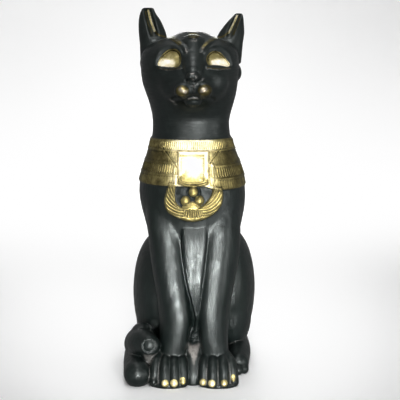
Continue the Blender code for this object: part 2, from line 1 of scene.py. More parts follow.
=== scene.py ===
"""Looks of the seated cat statue: the part's own form at a finer grain, with its finer relief and its paint.

Metres, +Z up. The cat faces -Y and its left side is at +X. The form is a free one, so its places and radii are
shares of the statue's height: each number in the tables below is a hundredth of STATUE_HEIGHT, as at() turns it
into metres.
"""

import math

import bmesh
import bpy
import numpy as np
from mathutils import Matrix, Vector

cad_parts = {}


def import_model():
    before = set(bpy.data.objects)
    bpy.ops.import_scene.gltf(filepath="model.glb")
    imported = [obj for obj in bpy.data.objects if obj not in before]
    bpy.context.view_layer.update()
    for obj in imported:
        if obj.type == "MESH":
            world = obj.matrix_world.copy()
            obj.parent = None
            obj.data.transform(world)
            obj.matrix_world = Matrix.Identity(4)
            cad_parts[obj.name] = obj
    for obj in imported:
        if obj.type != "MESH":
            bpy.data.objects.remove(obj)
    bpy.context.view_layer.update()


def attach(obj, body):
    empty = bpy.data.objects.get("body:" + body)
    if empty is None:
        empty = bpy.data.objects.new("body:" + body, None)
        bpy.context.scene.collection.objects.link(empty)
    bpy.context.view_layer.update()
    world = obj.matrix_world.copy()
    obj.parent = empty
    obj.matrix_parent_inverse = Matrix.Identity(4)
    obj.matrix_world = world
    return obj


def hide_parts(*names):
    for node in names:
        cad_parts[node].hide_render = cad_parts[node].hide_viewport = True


# The whole statue
STATUE_HEIGHT = 0.500
HUNDREDTH = STATUE_HEIGHT / 100
RING_POINTS = 40
BELOW_GROUND = -2.4

# Skins: how fine the closed skin round the masses is, and how often it is softened
TRUNK_VOXEL = 0.9
TRUNK_SOFTENINGS = 4
STATUE_VOXEL = 0.19
STATUE_SOFTENINGS = 8
TRIANGLES = 194000

# The trunk from the ground to the throat: height, centre x, half width, front, back
TRUNK_SECTIONS = (
    (BELOW_GROUND, 0.0, 8.6, -10.4, 22.6),
    (6.2, 0.0, 9.8, -12.4, 23.4),
    (11.4, 0.0, 10.2, -13.6, 23.2),
    (16.6, 0.0, 10.4, -14.4, 22.6),
    (22.0, 0.0, 10.7, -15.0, 21.4),
    (27.4, 0.1, 11.1, -15.6, 19.8),
    (32.0, 0.2, 11.8, -16.2, 18.0),
    (36.4, 0.2, 12.7, -17.1, 16.2),
    (39.8, 0.2, 13.2, -17.6, 14.9),
    (43.0, 0.1, 13.9, -17.9, 13.7),
    (46.0, 0.0, 14.5, -18.0, 12.7),
    (49.4, -0.2, 14.8, -17.7, 11.6),
    (52.8, -0.3, 14.5, -16.9, 10.6),
    (56.2, -0.2, 13.6, -15.7, 9.6),
    (59.6, -0.3, 12.4, -14.4, 8.6),
    (63.0, -0.4, 11.3, -13.2, 7.7),
    (66.4, -0.5, 10.7, -12.4, 6.9),
    (69.8, -0.6, 10.6, -12.0, 6.4),
    (73.2, -0.4, 11.2, -12.0, 6.2),
    (76.0, -0.4, 11.8, -12.4, 6.2),
)
TRUNK_SQUARENESS = 2.3

# The skull from the throat to the crown, in the same columns
SKULL_SECTIONS = (
    (68.0, -0.5, 10.3, -11.4, 6.0),
    (71.0, -0.5, 10.8, -12.2, 6.0),
    (74.0, -0.4, 11.5, -13.6, 6.3),
    (77.0, -0.5, 12.4, -14.9, 6.8),
    (80.0, -0.8, 13.1, -15.7, 7.1),
    (83.0, -0.8, 13.4, -16.0, 7.1),
    (86.0, -0.9, 13.4, -15.8, 6.6),
    (88.6, -0.7, 12.8, -14.8, 5.4),
    (90.6, -0.4, 10.2, -13.2, 3.6),
    (92.2, -0.1, 6.4, -10.8, 1.2),
    (93.7, 0.0, 3.0, -8.0, -2.0),
)
SKULL_SQUARENESS = 2.3

# The face: centre and radii of each mass
MUZZLE = ((0.0, -16.4, 79.2), (5.4, 4.9, 4.2))
CHEEKS = ((0.0, -12.4, 80.6), (9.6, 6.0, 7.0))
NOSE = ((0.0, -20.2, 81.9), (1.9, 1.4, 1.4))
CHIN = ((0.0, -17.3, 75.6), (2.3, 2.0, 1.7))
PAD = ((2.65, -19.6, 78.4), (2.3, 2.3, 2.1))
NOSE_BRIDGE = ((0.0, -10.6, 88.8), (0.0, -12.6, 85.8), (0.0, -17.2, 83.0))
NOSE_BRIDGE_RADII = (4.2, 4.2, 2.8)
EAR_LOBES = (((11.4, -4.0, 82.6), (1.9, 2.6, 2.6)), ((-13.2, -4.0, 85.2), (1.3, 2.6, 2.4)))

# Each ear from its root to its tip: height, centre x, centre y, half width, half depth
RIGHT_EAR = (
    (85.0, -10.0, -2.8, 4.4, 3.6),
    (90.0, -10.7, -2.0, 3.9, 3.1),
    (93.4, -11.2, -1.4, 3.7, 2.6),
    (96.6, -11.9, -0.6, 3.0, 2.1),
    (98.6, -12.4, 0.0, 2.2, 1.6),
    (100.1, -12.4, 0.3, 1.5, 1.2),
)
LEFT_EAR = (
    (85.0, 9.0, -2.8, 4.2, 3.6),
    (89.6, 9.6, -2.0, 4.0, 3.1),
    (93.2, 10.6, -1.4, 3.5, 2.5),
    (96.0, 11.6, -0.6, 2.4, 1.9),
    (97.9, 12.4, 0.0, 1.4, 1.3),
    (98.6, 12.6, 0.3, 0.9, 0.9),
)

# The forelegs, from below the ground to the shoulder: height, the right one's centre x, the left one's, how far
# the front of each is drawn sideways, then centre y, half width and half depth of both
FORELEG_SECTIONS = (
    (BELOW_GROUND, -5.6, 5.9, 0.0, 0.0, -15.8, 4.1, 4.6),
    (4.0, -5.6, 5.9, 0.2, 0.0, -16.0, 4.1, 4.8),
    (8.0, -5.6, 5.9, 0.6, -0.2, -16.4, 3.8, 4.9),
    (11.0, -5.4, 5.8, 1.1, -0.7, -16.4, 3.8, 5.0),
    (15.6, -5.3, 5.9, 1.6, -1.1, -16.2, 3.9, 5.2),
    (19.0, -5.6, 6.3, 1.8, -1.8, -15.9, 3.9, 5.3),
    (24.0, -6.1, 7.0, 1.2, -1.9, -15.3, 4.0, 5.3),
    (30.0, -7.0, 7.9, 1.1, -2.5, -14.3, 4.2, 5.3),
    (36.6, -7.8, 8.8, 1.1, -2.5, -12.9, 4.2, 5.4),
    (42.0, -8.3, 8.8, 0.6, -2.3, -11.6, 4.2, 5.6),
    (46.5, -8.6, 8.9, 0.4, -1.8, -9.8, 4.2, 5.4),
    (50.0, -8.7, 8.9, 0.8, -0.8, -8.4, 3.2, 4.4),
)
FORELEG_SQUARENESS = 2.8
# The flat strip of chest between the forelegs narrows to a point, a little to the cat's left: height, centre x,
# half width, front, back. A valley runs down each side of it.
CHEST_STRIP = (
    (4.0, 0.3, 1.6, -16.8, -10.0),
    (11.0, 0.4, 1.2, -17.4, -10.0),
    (15.0, 0.9, 0.4, -18.2, -10.0),
    (18.0, 1.05, 0.5, -19.6, -10.0),
    (25.6, 0.55, 1.9, -20.1, -10.0),
    (33.0, 0.3, 3.0, -19.4, -10.0),
    (38.0, 0.35, 3.45, -18.7, -10.0),
    (41.5, 0.35, 3.6, -17.8, -10.0),
    (44.0, 0.35, 3.7, -16.9, -10.0),
)
STRIP_SQUARENESS = 8.0
VALLEY_DEPTH, VALLEY_WIDTH = 1.7, 1.5
PAW = ((5.9, -18.4, 2.6), (4.9, 5.9, 5.3))
# One row for each toe, the cat's left paw's first: x at the ankle, x at the claw, reach forward, radius
TOES = (
    (3.5, 2.7, -24.3, 1.3),
    (5.4, 5.2, -25.2, 1.4),
    (7.6, 8.2, -25.0, 1.45),
    (9.0, 10.9, -23.6, 1.4),
    (-3.4, -2.6, -24.3, 1.3),
    (-5.2, -5.0, -25.2, 1.35),
    (-7.2, -7.6, -25.1, 1.4),
    (-8.8, -10.5, -23.8, 1.4),
)
TOE_ROOT_Y = -18.2
TOE_ROOT_HEIGHT = 6.9
TOE_KNUCKLE_HEIGHT = 5.4
TOE_TIP_HEIGHT = 1.1
# The web between the paws slopes down to the front, in the chest strip's columns
PAW_WEB = (
    (BELOW_GROUND, 0.1, 2.2, -23.6, -12.0),
    (1.5, 0.1, 2.2, -23.6, -12.0),
    (4.5, 0.1, 2.4, -22.6, -12.0),
    (6.8, 0.2, 2.5, -21.0, -12.0),
    (9.0, 0.2, 2.2, -19.4, -12.0),
    (10.4, 0.3, 1.6, -17.8, -12.0),
)
# The low sole under each row of toes: centre x, centre y, half width and half depth
SOLES = ((6.8, -19.4, 5.6, 6.8), (-6.4, -19.4, 5.3, 6.8))
SOLE_HEIGHT = 0.8
SOLE_SQUARENESS = 2.6

# The hind legs
THIGH_MASSES = (
    ((10.4, 7.2, 19.4), (7.4, 14.6, 17.4)),
    ((10.9, 2.4, 12.6), (5.8, 9.0, 10.8)),
)
THIGH_SHIFT = (0.3, 0.0, 0.6)
RUMP = ((0.0, 9.6, 13.6), (14.2, 13.6, 18.0))
# Low filling that closes the underside between the haunches, the feet and the tail
BASE_FILL = (
    (BELOW_GROUND, -0.4, 14.0, -18.0, 21.0),
    (0.6, -0.4, 14.0, -18.0, 21.0),
    (2.8, -0.4, 13.2, -17.2, 20.2),
)
FILL_SQUARENESS = 3.0
HIND_FOOT = ((12.6, 10.0, 3.2), (13.0, -2.0, 3.2), (12.6, -10.4, 2.4))
HIND_FOOT_RADII = (3.7, 3.5, 3.0)
HIND_TOES = ((10.8, -13.4), (12.5, -14.0), (14.1, -12.9))
HIND_TOE_RADIUS = 1.35
HIND_TOE_HEIGHT = 1.1
HIND_TOE_ROOT = (5.0, 3.2)

# The tail lies on the ground along the cat's right side, and its tip curls up against the foreleg
TAIL = (
    (-1.0, 21.4, 5.4),
    (-7.0, 21.4, 4.2),
    (-12.6, 16.8, 3.3),
    (-15.3, 9.0, 2.9),
    (-15.8, 0.0, 2.9),
    (-15.7, -9.0, 2.9),
    (-15.3, -16.4, 2.9),
    (-14.9, -22.2, 2.8),
)
TAIL_RADII = (3.6, 3.8, 3.8, 3.8, 3.7, 3.7, 3.7, 3.7)
TAIL_TIP = ((-14.6, -10.0, 7.6), (-13.6, -15.6, 9.4), (-11.8, -19.4, 10.0))
TAIL_TIP_RADII = (4.6, 3.9, 3.0)
TAIL_TIP_FOOT = ((-11.9, -19.6, 8.4), (-12.2, -20.0, 4.8))
TAIL_TIP_FOOT_RADII = (2.2, 1.0)
TAIL_BULK = ((-14.1, -10.4, 7.2), (4.2, 7.4, 6.4))
TAIL_NOOK_FILL = ((-11.6, -16.0, 3.0), (2.6, 4.0, 4.4))

# Relief of the collar: heights of its rows' edges, and how far it stands out
COLLAR_EDGES = (52.9, 55.8, 58.9, 62.0, 64.8)
COLLAR_RAISE = 0.42
CORD_RAISE = 0.2
CORD_HALF_WIDTH = 0.4
# Behind this y the collar slopes up, and on the cat's left its lower rows sag
COLLAR_RISE_FROM = -2.0
COLLAR_RISE_BEHIND = 0.16
COLLAR_SAG = 1.1
SAG_FROM, SAG_OVER = 2.5, 4.0
SAG_TOP, SAG_HEIGHT = 62.0, 6.0

# The plate on the chest, flat on a slope of its own: its outline and the panel sunk in it
PLATE_OUTLINE = ((-4.0, 62.1), (4.1, 62.1), (4.1, 53.6), (2.2, 52.9), (0.0, 52.7), (-2.2, 52.9), (-4.0, 53.6))
PANEL_OUTLINE = ((-3.35, 60.4), (3.0, 60.4), (3.0, 54.1), (0.0, 53.6), (-3.35, 54.1))
PLATE_TOP = 62.1
PLATE_FRONT_AT_TOP = -14.5
PLATE_SLOPE = 0.34
PANEL_SINK = 0.22

# The winged scarab below it: a crescent of two wings, then centre, radii and raise of its disc, its forelegs
# and its body
WINGS_OUTER = (
    (-6.3, 53.9), (-7.4, 50.6), (-7.7, 48.5), (-7.0, 46.3), (-5.2, 44.9), (-2.6, 43.9), (0.0, 43.5),
    (2.4, 44.0), (4.4, 44.8), (6.2, 46.0), (7.6, 47.8), (8.1, 50.2), (7.8, 52.4),
)
WINGS_INNER = (
    (5.3, 52.9), (4.8, 50.6), (3.2, 48.5), (1.6, 47.4), (-0.6, 47.2), (-3.0, 47.4), (-4.4, 48.6), (-4.7, 50.4),
    (-4.6, 53.6),
)
WINGS_RAISE = 0.6
SCARAB_PARTS = (
    ((0.1, 51.5), (1.2, 1.3), 0.75),
    ((-2.0, 49.1), (1.25, 1.35), 0.8),
    ((1.7, 49.2), (1.25, 1.35), 0.8),
    ((-0.4, 47.0), (2.6, 2.0), 0.7),
)

# The eyes, right one first, and the hollow that each lies in
EYES = (
    ((-9.5, 84.9), (-8.3, 87.3), (-5.6, 89.1), (-3.4, 88.0), (-3.2, 85.4), (-4.4, 84.4), (-7.4, 84.3)),
    ((9.9, 84.8), (8.3, 87.1), (6.0, 88.6), (4.0, 87.6), (3.5, 86.0), (4.3, 84.8), (7.6, 84.5)),
)
EYE_BOTTOM, EYE_TOP = 84.4, 89.0
EYE_SINK_BOTTOM, EYE_SINK_TOP = 0.1, 1.2
EYEBALL, EYEBALL_SLOPE = 0.35, 2.0
SOCKETS = ((-6.4, 86.2), (6.7, 86.1))
SOCKET_RADII = (4.8, 4.2)
SOCKET_SINK = 0.7

# Lines of relief on the face: places (x, height), half width, and the raise or, below 0, the sink
UPPER_LIDS = (
    (((-2.7, 87.4), (-3.6, 89.3), (-5.6, 90.1), (-8.4, 89.2), (-9.8, 87.2), (-10.4, 85.0)), 1.3, 0.4),
    (((3.1, 87.2), (4.2, 89.2), (6.6, 90.0), (8.8, 89.1), (10.1, 87.2), (10.9, 85.0)), 1.3, 0.4),
)
LOWER_LIDS = (
    (((-9.4, 84.1), (-6.6, 83.7), (-3.2, 84.2)), 0.5, 0.3),
    (((3.6, 84.3), (6.6, 83.9), (10.0, 84.0)), 0.5, 0.3),
)
BROWS = (
    (((-9.8, 93.0), (-6.6, 92.2), (-4.1, 91.0), (-2.8, 90.0), (-2.0, 88.8)), 0.95, 0.6),
    (((8.6, 92.8), (6.0, 91.9), (4.2, 90.7), (3.2, 89.8), (2.6, 88.8)), 0.95, 0.6),
)
NOSE_LINES = (
    (((-1.9, 81.1), (0.1, 79.6), (2.1, 81.1)), 0.5, -0.4),
    (((0.0, 79.7), (0.0, 78.4), (0.0, 77.0)), 0.5, -0.35),
)
MOUTH = (((-5.4, 75.9), (-3.7, 76.6), (0.0, 77.0), (3.7, 76.6), (5.4, 75.9)), 0.9, -0.45)
BROW_SCARAB = ((0.0, 92.6), (1.6, 0.95), 0.35)
EAR_HOLLOWS = (
    (((-12.5, 99.6), (-11.1, 94.6), (-10.2, 91.0)), 1.5, -1.7),
    (((12.4, 98.4), (10.4, 93.6), (9.4, 90.6)), 1.25, -1.5),
)

# The hollow in the end of the tail, inside its rim, and the claws
TAIL_HOLLOW_CENTRE = (-11.8, 10.4)
TAIL_HOLLOW_RADIUS, TAIL_HOLLOW_SINK = 2.0, 0.5
CLAW_HEIGHT = 1.5
CLAW_RADII = (0.75, 0.85)
CLAW_RAISE = 0.22

# The collar's ribs: how many go round, and for each ribbed row its lowest and highest level and its depth
COLLAR_AXIS = (-0.2, -2.0)
RIBS = 126
RIB_EDGE = 0.2
RIB_ROWS = ((62.35, 64.5, 0.085), (56.15, 58.6, 0.085), (53.2, 55.5, 0.03), (59.2, 61.7, 0.02))
# The cords from the collar's top down to the plate, and the fans of ribs between a cord and the plate
CORDS = (((-8.1, 62.6), (-6.2, 60.4), (-4.3, 57.7)), ((7.4, 62.3), (6.0, 60.6), (4.6, 58.8)))
CORD_BANK, CORD_GROOVE = (0.75, 0.16), (0.36, -0.36)
FANS = (((-7.8, 62.0), (-4.2, 62.0), (-4.2, 57.9)), ((7.1, 62.0), (4.4, 62.0), (4.4, 59.0)))
FAN_RIBS, FAN_RIB_DEPTH = 68, 0.06
FAN_CENTRE_BELOW = 1.2  # the ribs of a fan point at a place this far below its lowest corner
# Rounded ends of the lower rows beside the plate
ROW_ENDS = (((-4.75, 56.2), (0.7, 3.0), 0.34), ((5.1, 56.0), (0.8, 3.0), 0.4))

# Finer lines of the plate: the slot under its top bar and the lip along its bottom
PLATE_LINES = (
    (((-3.4, 60.85), (2.7, 60.85)), 0.34, -0.34),
    (((-3.8, 54.15), (-2.0, 53.55), (0.0, 53.35), (2.0, 53.55), (3.9, 54.1)), 0.3, -0.2),
)
PANEL_RING_PITCH, PANEL_RING_DEPTH = 0.42, 0.025
PANEL_RINGS_FROM, PANEL_RINGS_TO = 0.1, 1.9

# Finer relief of the winged scarab: feathers, the fan on its body and the ring round its disc
FEATHER_CENTRE = (0.0, 50.6)
FEATHERS = 25
FEATHER_SWEEP = 7.5
FEATHER_DEPTH = 0.1
FEATHER_MARGIN = 0.12
BODY_FAN_CENTRE, BODY_FAN_HALF_WIDTH, BODY_FAN_RIBS = (0.0, 54.0), 2.7, 88
BODY_FAN_LOW, BODY_FAN_HIGH, BODY_FAN_CURVE = 44.6, 46.7, 0.04
DISC_RING, DISC_RING_WIDTH, DISC_RING_SINK = 1.4, 0.35, 0.35  # in the disc's radii

# Finer lines of the body: places (x, height), half width, raise
BODY_REGION = (14.0, 43.0, -14.0)
BODY_LINES = (
    (((-2.0, 31.0), (-1.2, 26.5), (-0.1, 21.6), (1.05, 17.2)), 0.26, 0.16),
    (((2.0, 27.5), (1.6, 23.0), (1.15, 18.0)), 0.22, 0.1),
)
NOSE_CREASES, NOSE_CREASE_SIZE = 0.15, 0.9
NOSE_CREASE_RADII = (2.0, 3.0, 1.6)
# The unevenness of the casting: size of the lumps and their height
UNEVENNESS = ((4.5, 0.02), (1.6, 0.012))
NOSE_V, LIP_LINE = ((-1.3, 80.9), (0.15, 79.6), (2.8, 81.5)), ((0.15, 79.6), (0.15, 77.5))
FACE_LINES = (
    (NOSE_V, 0.24, 0.32),
    (LIP_LINE, 0.22, 0.28),
    (((-1.3, 76.1), (0.1, 76.5), (1.5, 76.1)), 0.5, 0.2),
)
CURL_LINES = (
    (((1.0, 13.6), (0.1, 13.0), (-0.3, 12.1), (0.2, 11.4), (0.8, 11.7)), 0.42, 0.5),
    (((0.8, 10.9), (0.0, 10.5), (-0.4, 9.7), (0.1, 9.1)), 0.42, 0.45),
    (((-1.4, 8.7), (-0.6, 7.2), (0.1, 8.4), (0.9, 7.2), (1.7, 8.6)), 0.4, 0.4),
)

# How wide the sloping edge of a raised or sunk field is
EDGE_SLOPE = 0.4
# The part of the surface that each kind of relief is kept to: lowest height, highest height, and its back
SCARAB_REGION = (43.0, 53.9, 0.0)
SCARAB_HALF_WIDTH, SCARAB_BACK = 8.4, -12.0
COLLAR_REFINED_TO = 2.0  # the finer faces of the collar end behind this y
FACE_REGION = (74.0, 96.0, -6.0)
EAR_REGION = (91.5, 102.0, 6.0)
FOOT_REGION = (-1.0, 14.0, -12.0)
PLATE_REGION = (51.0, 64.0, 0.0)


def at(*shares):
    """Hundredths of the height as a point or a size in metres."""
    return Vector(shares) * HUNDREDTH


def smooth_rows(rows, steps, closed=False):
    """Rows of numbers read along a smooth curve that passes through each of the given rows."""
    given = np.array(rows, float)
    if closed:
        held = np.vstack([given[-1], given, given[:2]])
    else:
        held = np.vstack([2 * given[0] - given[1], given, 2 * given[-1] - given[-2]])
    found = []
    for a, b, c, d in zip(held, held[1:], held[2:], held[3:]):
        for t in np.arange(steps) / steps:
            bend = (2 * a - 5 * b + 4 * c - d) * t**2 + (3 * b - a - 3 * c + d) * t**3
            found.append(b + ((c - a) * t + bend) / 2)
    found.append(held[-2])
    return np.array(found)


def skin_of_rings(rings):
    """A closed mesh with these rings of points one above another and a cap at each end."""
    count, around = len(rings), len(rings[0])
    points = [tuple(p) for ring in rings for p in ring]
    faces = []
    for low in range(0, (count - 1) * around, around):
        for k in range(around):
            beside = (k + 1) % around
            faces.append((low + k, low + beside, low + around + beside, low + around + k))
    faces.append(tuple(reversed(range(around))))
    faces.append(tuple((count - 1) * around + k for k in range(around)))
    mesh = bpy.data.meshes.new("rings")
    mesh.from_pydata(points, [], faces)
    shape = bmesh.new()
    shape.from_mesh(mesh)
    bmesh.ops.recalc_face_normals(shape, faces=shape.faces)
    shape.to_mesh(mesh)
    shape.free()
    return mesh


def stack(sections, squareness=2.0, steps=4):
    """A form from level sections: height, centre x, centre y, half width, half depth and perhaps the front's shift."""
    rings = []
    turns = np.linspace(0, 2 * math.pi, RING_POINTS, endpoint=False)
    power = 2 / squareness
    across = np.sign(np.cos(turns)) * np.abs(np.cos(turns)) ** power
    along = np.sign(np.sin(turns)) * np.abs(np.sin(turns)) ** power
    for height, x, y, width, depth, *drawn in smooth_rows(sections, steps):
        xs = x + width * across + sum(drawn) * np.clip(-along, 0, None)
        rings.append([at(*place, height) for place in zip(xs, y + depth * along)])
    return skin_of_rings(rings)


def front_to_back(sections):
    """Sections given by their front and back as sections given by their centre and half depth."""
    found = []
    for height, x, width, front, back in sections:
        found.append((height, x, (front + back) / 2, width, (back - front) / 2))
    return found


def ball(centre, radii):
    """An ellipsoid."""
    shape = bmesh.new()
    place = Matrix.Translation(at(*centre)) @ Matrix.Diagonal((*at(*radii), 1))
    bmesh.ops.create_icosphere(shape, subdivisions=4, radius=1, matrix=place)
    mesh = bpy.data.meshes.new("ball")
    shape.to_mesh(mesh)
    shape.free()
    return mesh


def limb(path, radii, steps=5):
    """A round tube along a smooth path, with a rounded end at each side."""
    rows = smooth_rows([(*p, r) for p, r in zip(path, radii)], steps)
    centres, sizes = rows[:, :3], rows[:, 3]
    ways = np.gradient(centres, axis=0)
    ways /= np.linalg.norm(ways, axis=1)[:, None]
    turns = np.linspace(0, 2 * math.pi, RING_POINTS, endpoint=False)
    side = np.cross(ways[0], (0.0, 0.0, 1.0))
    if np.linalg.norm(side) < 0.1:
        side = np.cross(ways[0], (1.0, 0.0, 0.0))

    def ring(centre, way, size):
        nonlocal side
        side = side - way * (side @ way)
        side /= np.linalg.norm(side)
        other = np.cross(way, side)
        return [at(*(centre + size * (math.cos(t) * side + math.sin(t) * other))) for t in turns]

    def end(k, sign):
        """The rings of a rounded end, from the tube's end outwards."""
        way, size = ways[k], sizes[k]
        leans = np.radians((20, 40, 60, 80))
        return [(centres[k] + sign * way * size * math.sin(a), way, size * math.cos(a)) for a in leans]

    places = end(0, -1)[::-1] + list(zip(centres, ways, sizes)) + end(-1, 1)
    return skin_of_rings([ring(*place) for place in places])


def mirrored(point, side):
    """A place on the cat's left, or the same place on its right when side is -1."""
    return (point[0] * side, *point[1:])


def evaluated_mesh(mesh, add_modifiers):
    """The mesh as the modifiers that add_modifiers puts on it leave it."""
    obj = bpy.data.objects.new("work", mesh)
    bpy.context.scene.collection.objects.link(obj)
    add_modifiers(obj)
    graph = bpy.context.evaluated_depsgraph_get()
    made = bpy.data.meshes.new_from_object(obj.evaluated_get(graph))
    bpy.data.objects.remove(obj)
    return made


def fused(meshes, voxel, softenings, rounded=False):
    """One closed skin round all these closed meshes, with its creases softened."""
    together = bmesh.new()
    for mesh in meshes:
        together.from_mesh(mesh)
    mesh = bpy.data.meshes.new("together")
    together.to_mesh(mesh)
    together.free()

    def skin(obj):
        remesh = obj.modifiers.new("skin", "REMESH")
        remesh.mode = "VOXEL"
        remesh.voxel_size = voxel * HUNDREDTH
        soften = obj.modifiers.new("soften", "SMOOTH")
        soften.factor = 0.5
        soften.iterations = round(softenings)
        if rounded:
            smooth = obj.modifiers.new("rounded", "SUBSURF")
            smooth.levels = smooth.render_levels = 1

    return evaluated_mesh(mesh, skin)


def foreleg(side):
    sections = []
    for height, right_x, left_x, right_drawn, left_drawn, *rest in FORELEG_SECTIONS:
        x, drawn = (left_x, left_drawn) if side > 0 else (right_x, right_drawn)
        sections.append((height, x, *rest, drawn))
    return stack(sections, FORELEG_SQUARENESS)


def valley_floor():
    """The sections of the chest behind its strip."""
    return [(*row[:2], row[2] + VALLEY_WIDTH, row[3] + VALLEY_DEPTH, row[4]) for row in CHEST_STRIP]


def trunk_masses():
    """The masses that run broadly into each other."""
    masses = [
        ball(*RUMP),
        stack(front_to_back(BASE_FILL), FILL_SQUARENESS),
        stack(front_to_back(TRUNK_SECTIONS), TRUNK_SQUARENESS),
        stack(front_to_back(SKULL_SECTIONS), SKULL_SQUARENESS),
        stack(front_to_back(valley_floor()), FILL_SQUARENESS),
        ball(*MUZZLE),
        ball(*CHEEKS),
    ]
    for side in (-1, 1):
        for (x, y, height), radii in THIGH_MASSES:
            masses.append(ball((x * side + THIGH_SHIFT[0], y, height + THIGH_SHIFT[2] * side), radii))
        masses.append(foreleg(side))
    return masses


def head_masses():
    """The nose, muzzle pads, chin and ears."""
    masses = [ball(*NOSE), ball(*CHIN), limb(NOSE_BRIDGE, NOSE_BRIDGE_RADII), ball(*EAR_LOBES[0]), ball(*EAR_LOBES[1])]
    masses += [stack(ear) for ear in (RIGHT_EAR, LEFT_EAR)]
    masses += [ball(mirrored(PAD[0], side), PAD[1]) for side in (-1, 1)]
    return masses


def toe(root_x, tip_x, reach, radius):
    path = (
        (root_x, TOE_ROOT_Y, TOE_ROOT_HEIGHT),
        ((root_x + 2 * tip_x) / 3, (TOE_ROOT_Y + 2 * reach) / 3, TOE_KNUCKLE_HEIGHT),
        (tip_x, reach, TOE_TIP_HEIGHT),
    )
    return limb(path, (radius, radius * 1.05, radius))


def hind_foot_masses(side):
    masses = [limb([mirrored(p, side) for p in HIND_FOOT], HIND_FOOT_RADII)]
    for x, reach in HIND_TOES:
        path = ((x * side, reach + HIND_TOE_ROOT[0], HIND_TOE_ROOT[1]), (x * side, reach, HIND_TOE_HEIGHT))
        masses.append(limb(path, (HIND_TOE_RADIUS, HIND_TOE_RADIUS)))
    return masses


def statue_masses():
    """Everything that meets the trunk in a clear crease."""
    masses = head_masses() + [toe(*row) for row in TOES]
    for side in (-1, 1):
        masses.append(ball(mirrored(PAW[0], side), PAW[1]))
        masses += hind_foot_masses(side)
    for x, y, width, depth in SOLES:
        sole = [(height, x, y, width, depth) for height in (BELOW_GROUND, SOLE_HEIGHT)]
        masses.append(stack(sole, SOLE_SQUARENESS))
    masses += [stack(front_to_back(PAW_WEB), FILL_SQUARENESS), stack(front_to_back(CHEST_STRIP), STRIP_SQUARENESS)]
    masses += [limb(TAIL, TAIL_RADII), limb(TAIL_TIP, TAIL_TIP_RADII), limb(TAIL_TIP_FOOT, TAIL_TIP_FOOT_RADII)]
    masses += [ball(*TAIL_BULK), ball(*TAIL_NOOK_FILL)]
    return masses


def outer_skin(mesh):
    """The mesh without the small pockets closed up inside it: of its separate islands, the largest."""
    shape = bmesh.new()
    shape.from_mesh(mesh)
    left = set(shape.verts)
    islands = []
    while left:
        island = [left.pop()]
        for vert in island:
            for edge in vert.link_edges:
                other = edge.other_vert(vert)
                if other in left:
                    left.remove(other)
                    island.append(other)
        islands.append(island)
    islands.sort(key=len)
    bmesh.ops.delete(shape, geom=[vert for island in islands[:-1] for vert in island], context="VERTS")
    shape.to_mesh(mesh)
    shape.free()
    return mesh


def statue_form(voxel):
    trunk = fused(trunk_masses(), TRUNK_VOXEL, TRUNK_SOFTENINGS, rounded=True)
    return fused([trunk] + statue_masses(), voxel, STATUE_SOFTENINGS)


def ramp(distance, width):
    """0 where the distance is below 0, 1 where it is above the width, and a soft slope between them."""
    t = np.clip(distance / width, 0, 1)
    return t * t * (3 - 2 * t)


def distance_to(places, line):
    """How far each place (x, height) is from a line of straight stretches."""
    nearest = np.full(len(places), np.inf)
    for a, b in zip(line[:-1], line[1:]):
        run = b - a
        share = np.clip((places - a) @ run / max(run @ run, 1e-12), 0, 1)
        nearest = np.minimum(nearest, np.linalg.norm(places - a - share[:, None] * run, axis=1))
    return nearest


def depth_inside(places, outline):
    """How far each place is inside a closed outline, below 0 outside it."""
    inside = np.zeros(len(places), bool)
    x, z = places.T
    for (ax, az), (bx, bz) in zip(outline[:-1], outline[1:]):
        if az != bz:
            crossing = ax + (z - az) * (bx - ax) / (bz - az)
            inside ^= ((az > z) != (bz > z)) & (x < crossing)
    return np.where(inside, 1, -1) * distance_to(places, outline)


def cornered(points):
    return np.array(points + points[:1], float)


def ridges(places, lines):
    """How far these rounded ridges stand out at each place, or grooves sink in where the raise is below 0."""
    total = np.zeros(len(places))
    for points, half_width, raised in lines:
        total += raised * ramp(1 - distance_to(places, smooth_rows(points, 6)) / half_width, 1)
    return total


def knob(places, centre, radii, raised):
    """A low rounded boss."""
    off = np.linalg.norm((places - centre) / radii, axis=1)
    return raised * np.sqrt(np.clip(1 - off**2, 0, 1))


def collar_level(points):
    """The height of each place, measured as if the collar lay level all round."""
    level = points[:, 2] - COLLAR_RISE_BEHIND * np.clip(points[:, 1] - COLLAR_RISE_FROM, 0, None)
    lowered = ramp(points[:, 0] - SAG_FROM, SAG_OVER) * ramp(SAG_TOP - points[:, 2], SAG_HEIGHT)
    return level + COLLAR_SAG * lowered * ramp(-points[:, 1], SAG_OVER)


def collar_relief(points):
    """How far the collar's band and the cords between its rows stand out."""
    level = collar_level(points)
    bottom, top = COLLAR_EDGES[0], COLLAR_EDGES[-1]
    out = COLLAR_RAISE * ramp(level - bottom, EDGE_SLOPE) * ramp(top - level, EDGE_SLOPE)
    for edge in COLLAR_EDGES:
        out += CORD_RAISE * ramp(1 - abs(level - edge) / CORD_HALF_WIDTH, 1)
    return out


def inside_wings(places):
    """How far each place is inside the crescent of the two wings."""
    outline = np.vstack([smooth_rows(WINGS_OUTER, 5), smooth_rows(WINGS_INNER, 5), WINGS_OUTER[:1]])
    return depth_inside(places, outline)


def scarab_relief(places):
    relief = WINGS_RAISE * ramp(inside_wings(places), EDGE_SLOPE)
    for centre, radii, raised in SCARAB_PARTS:
        relief = np.maximum(relief, knob(places, centre, radii, raised))
    return relief


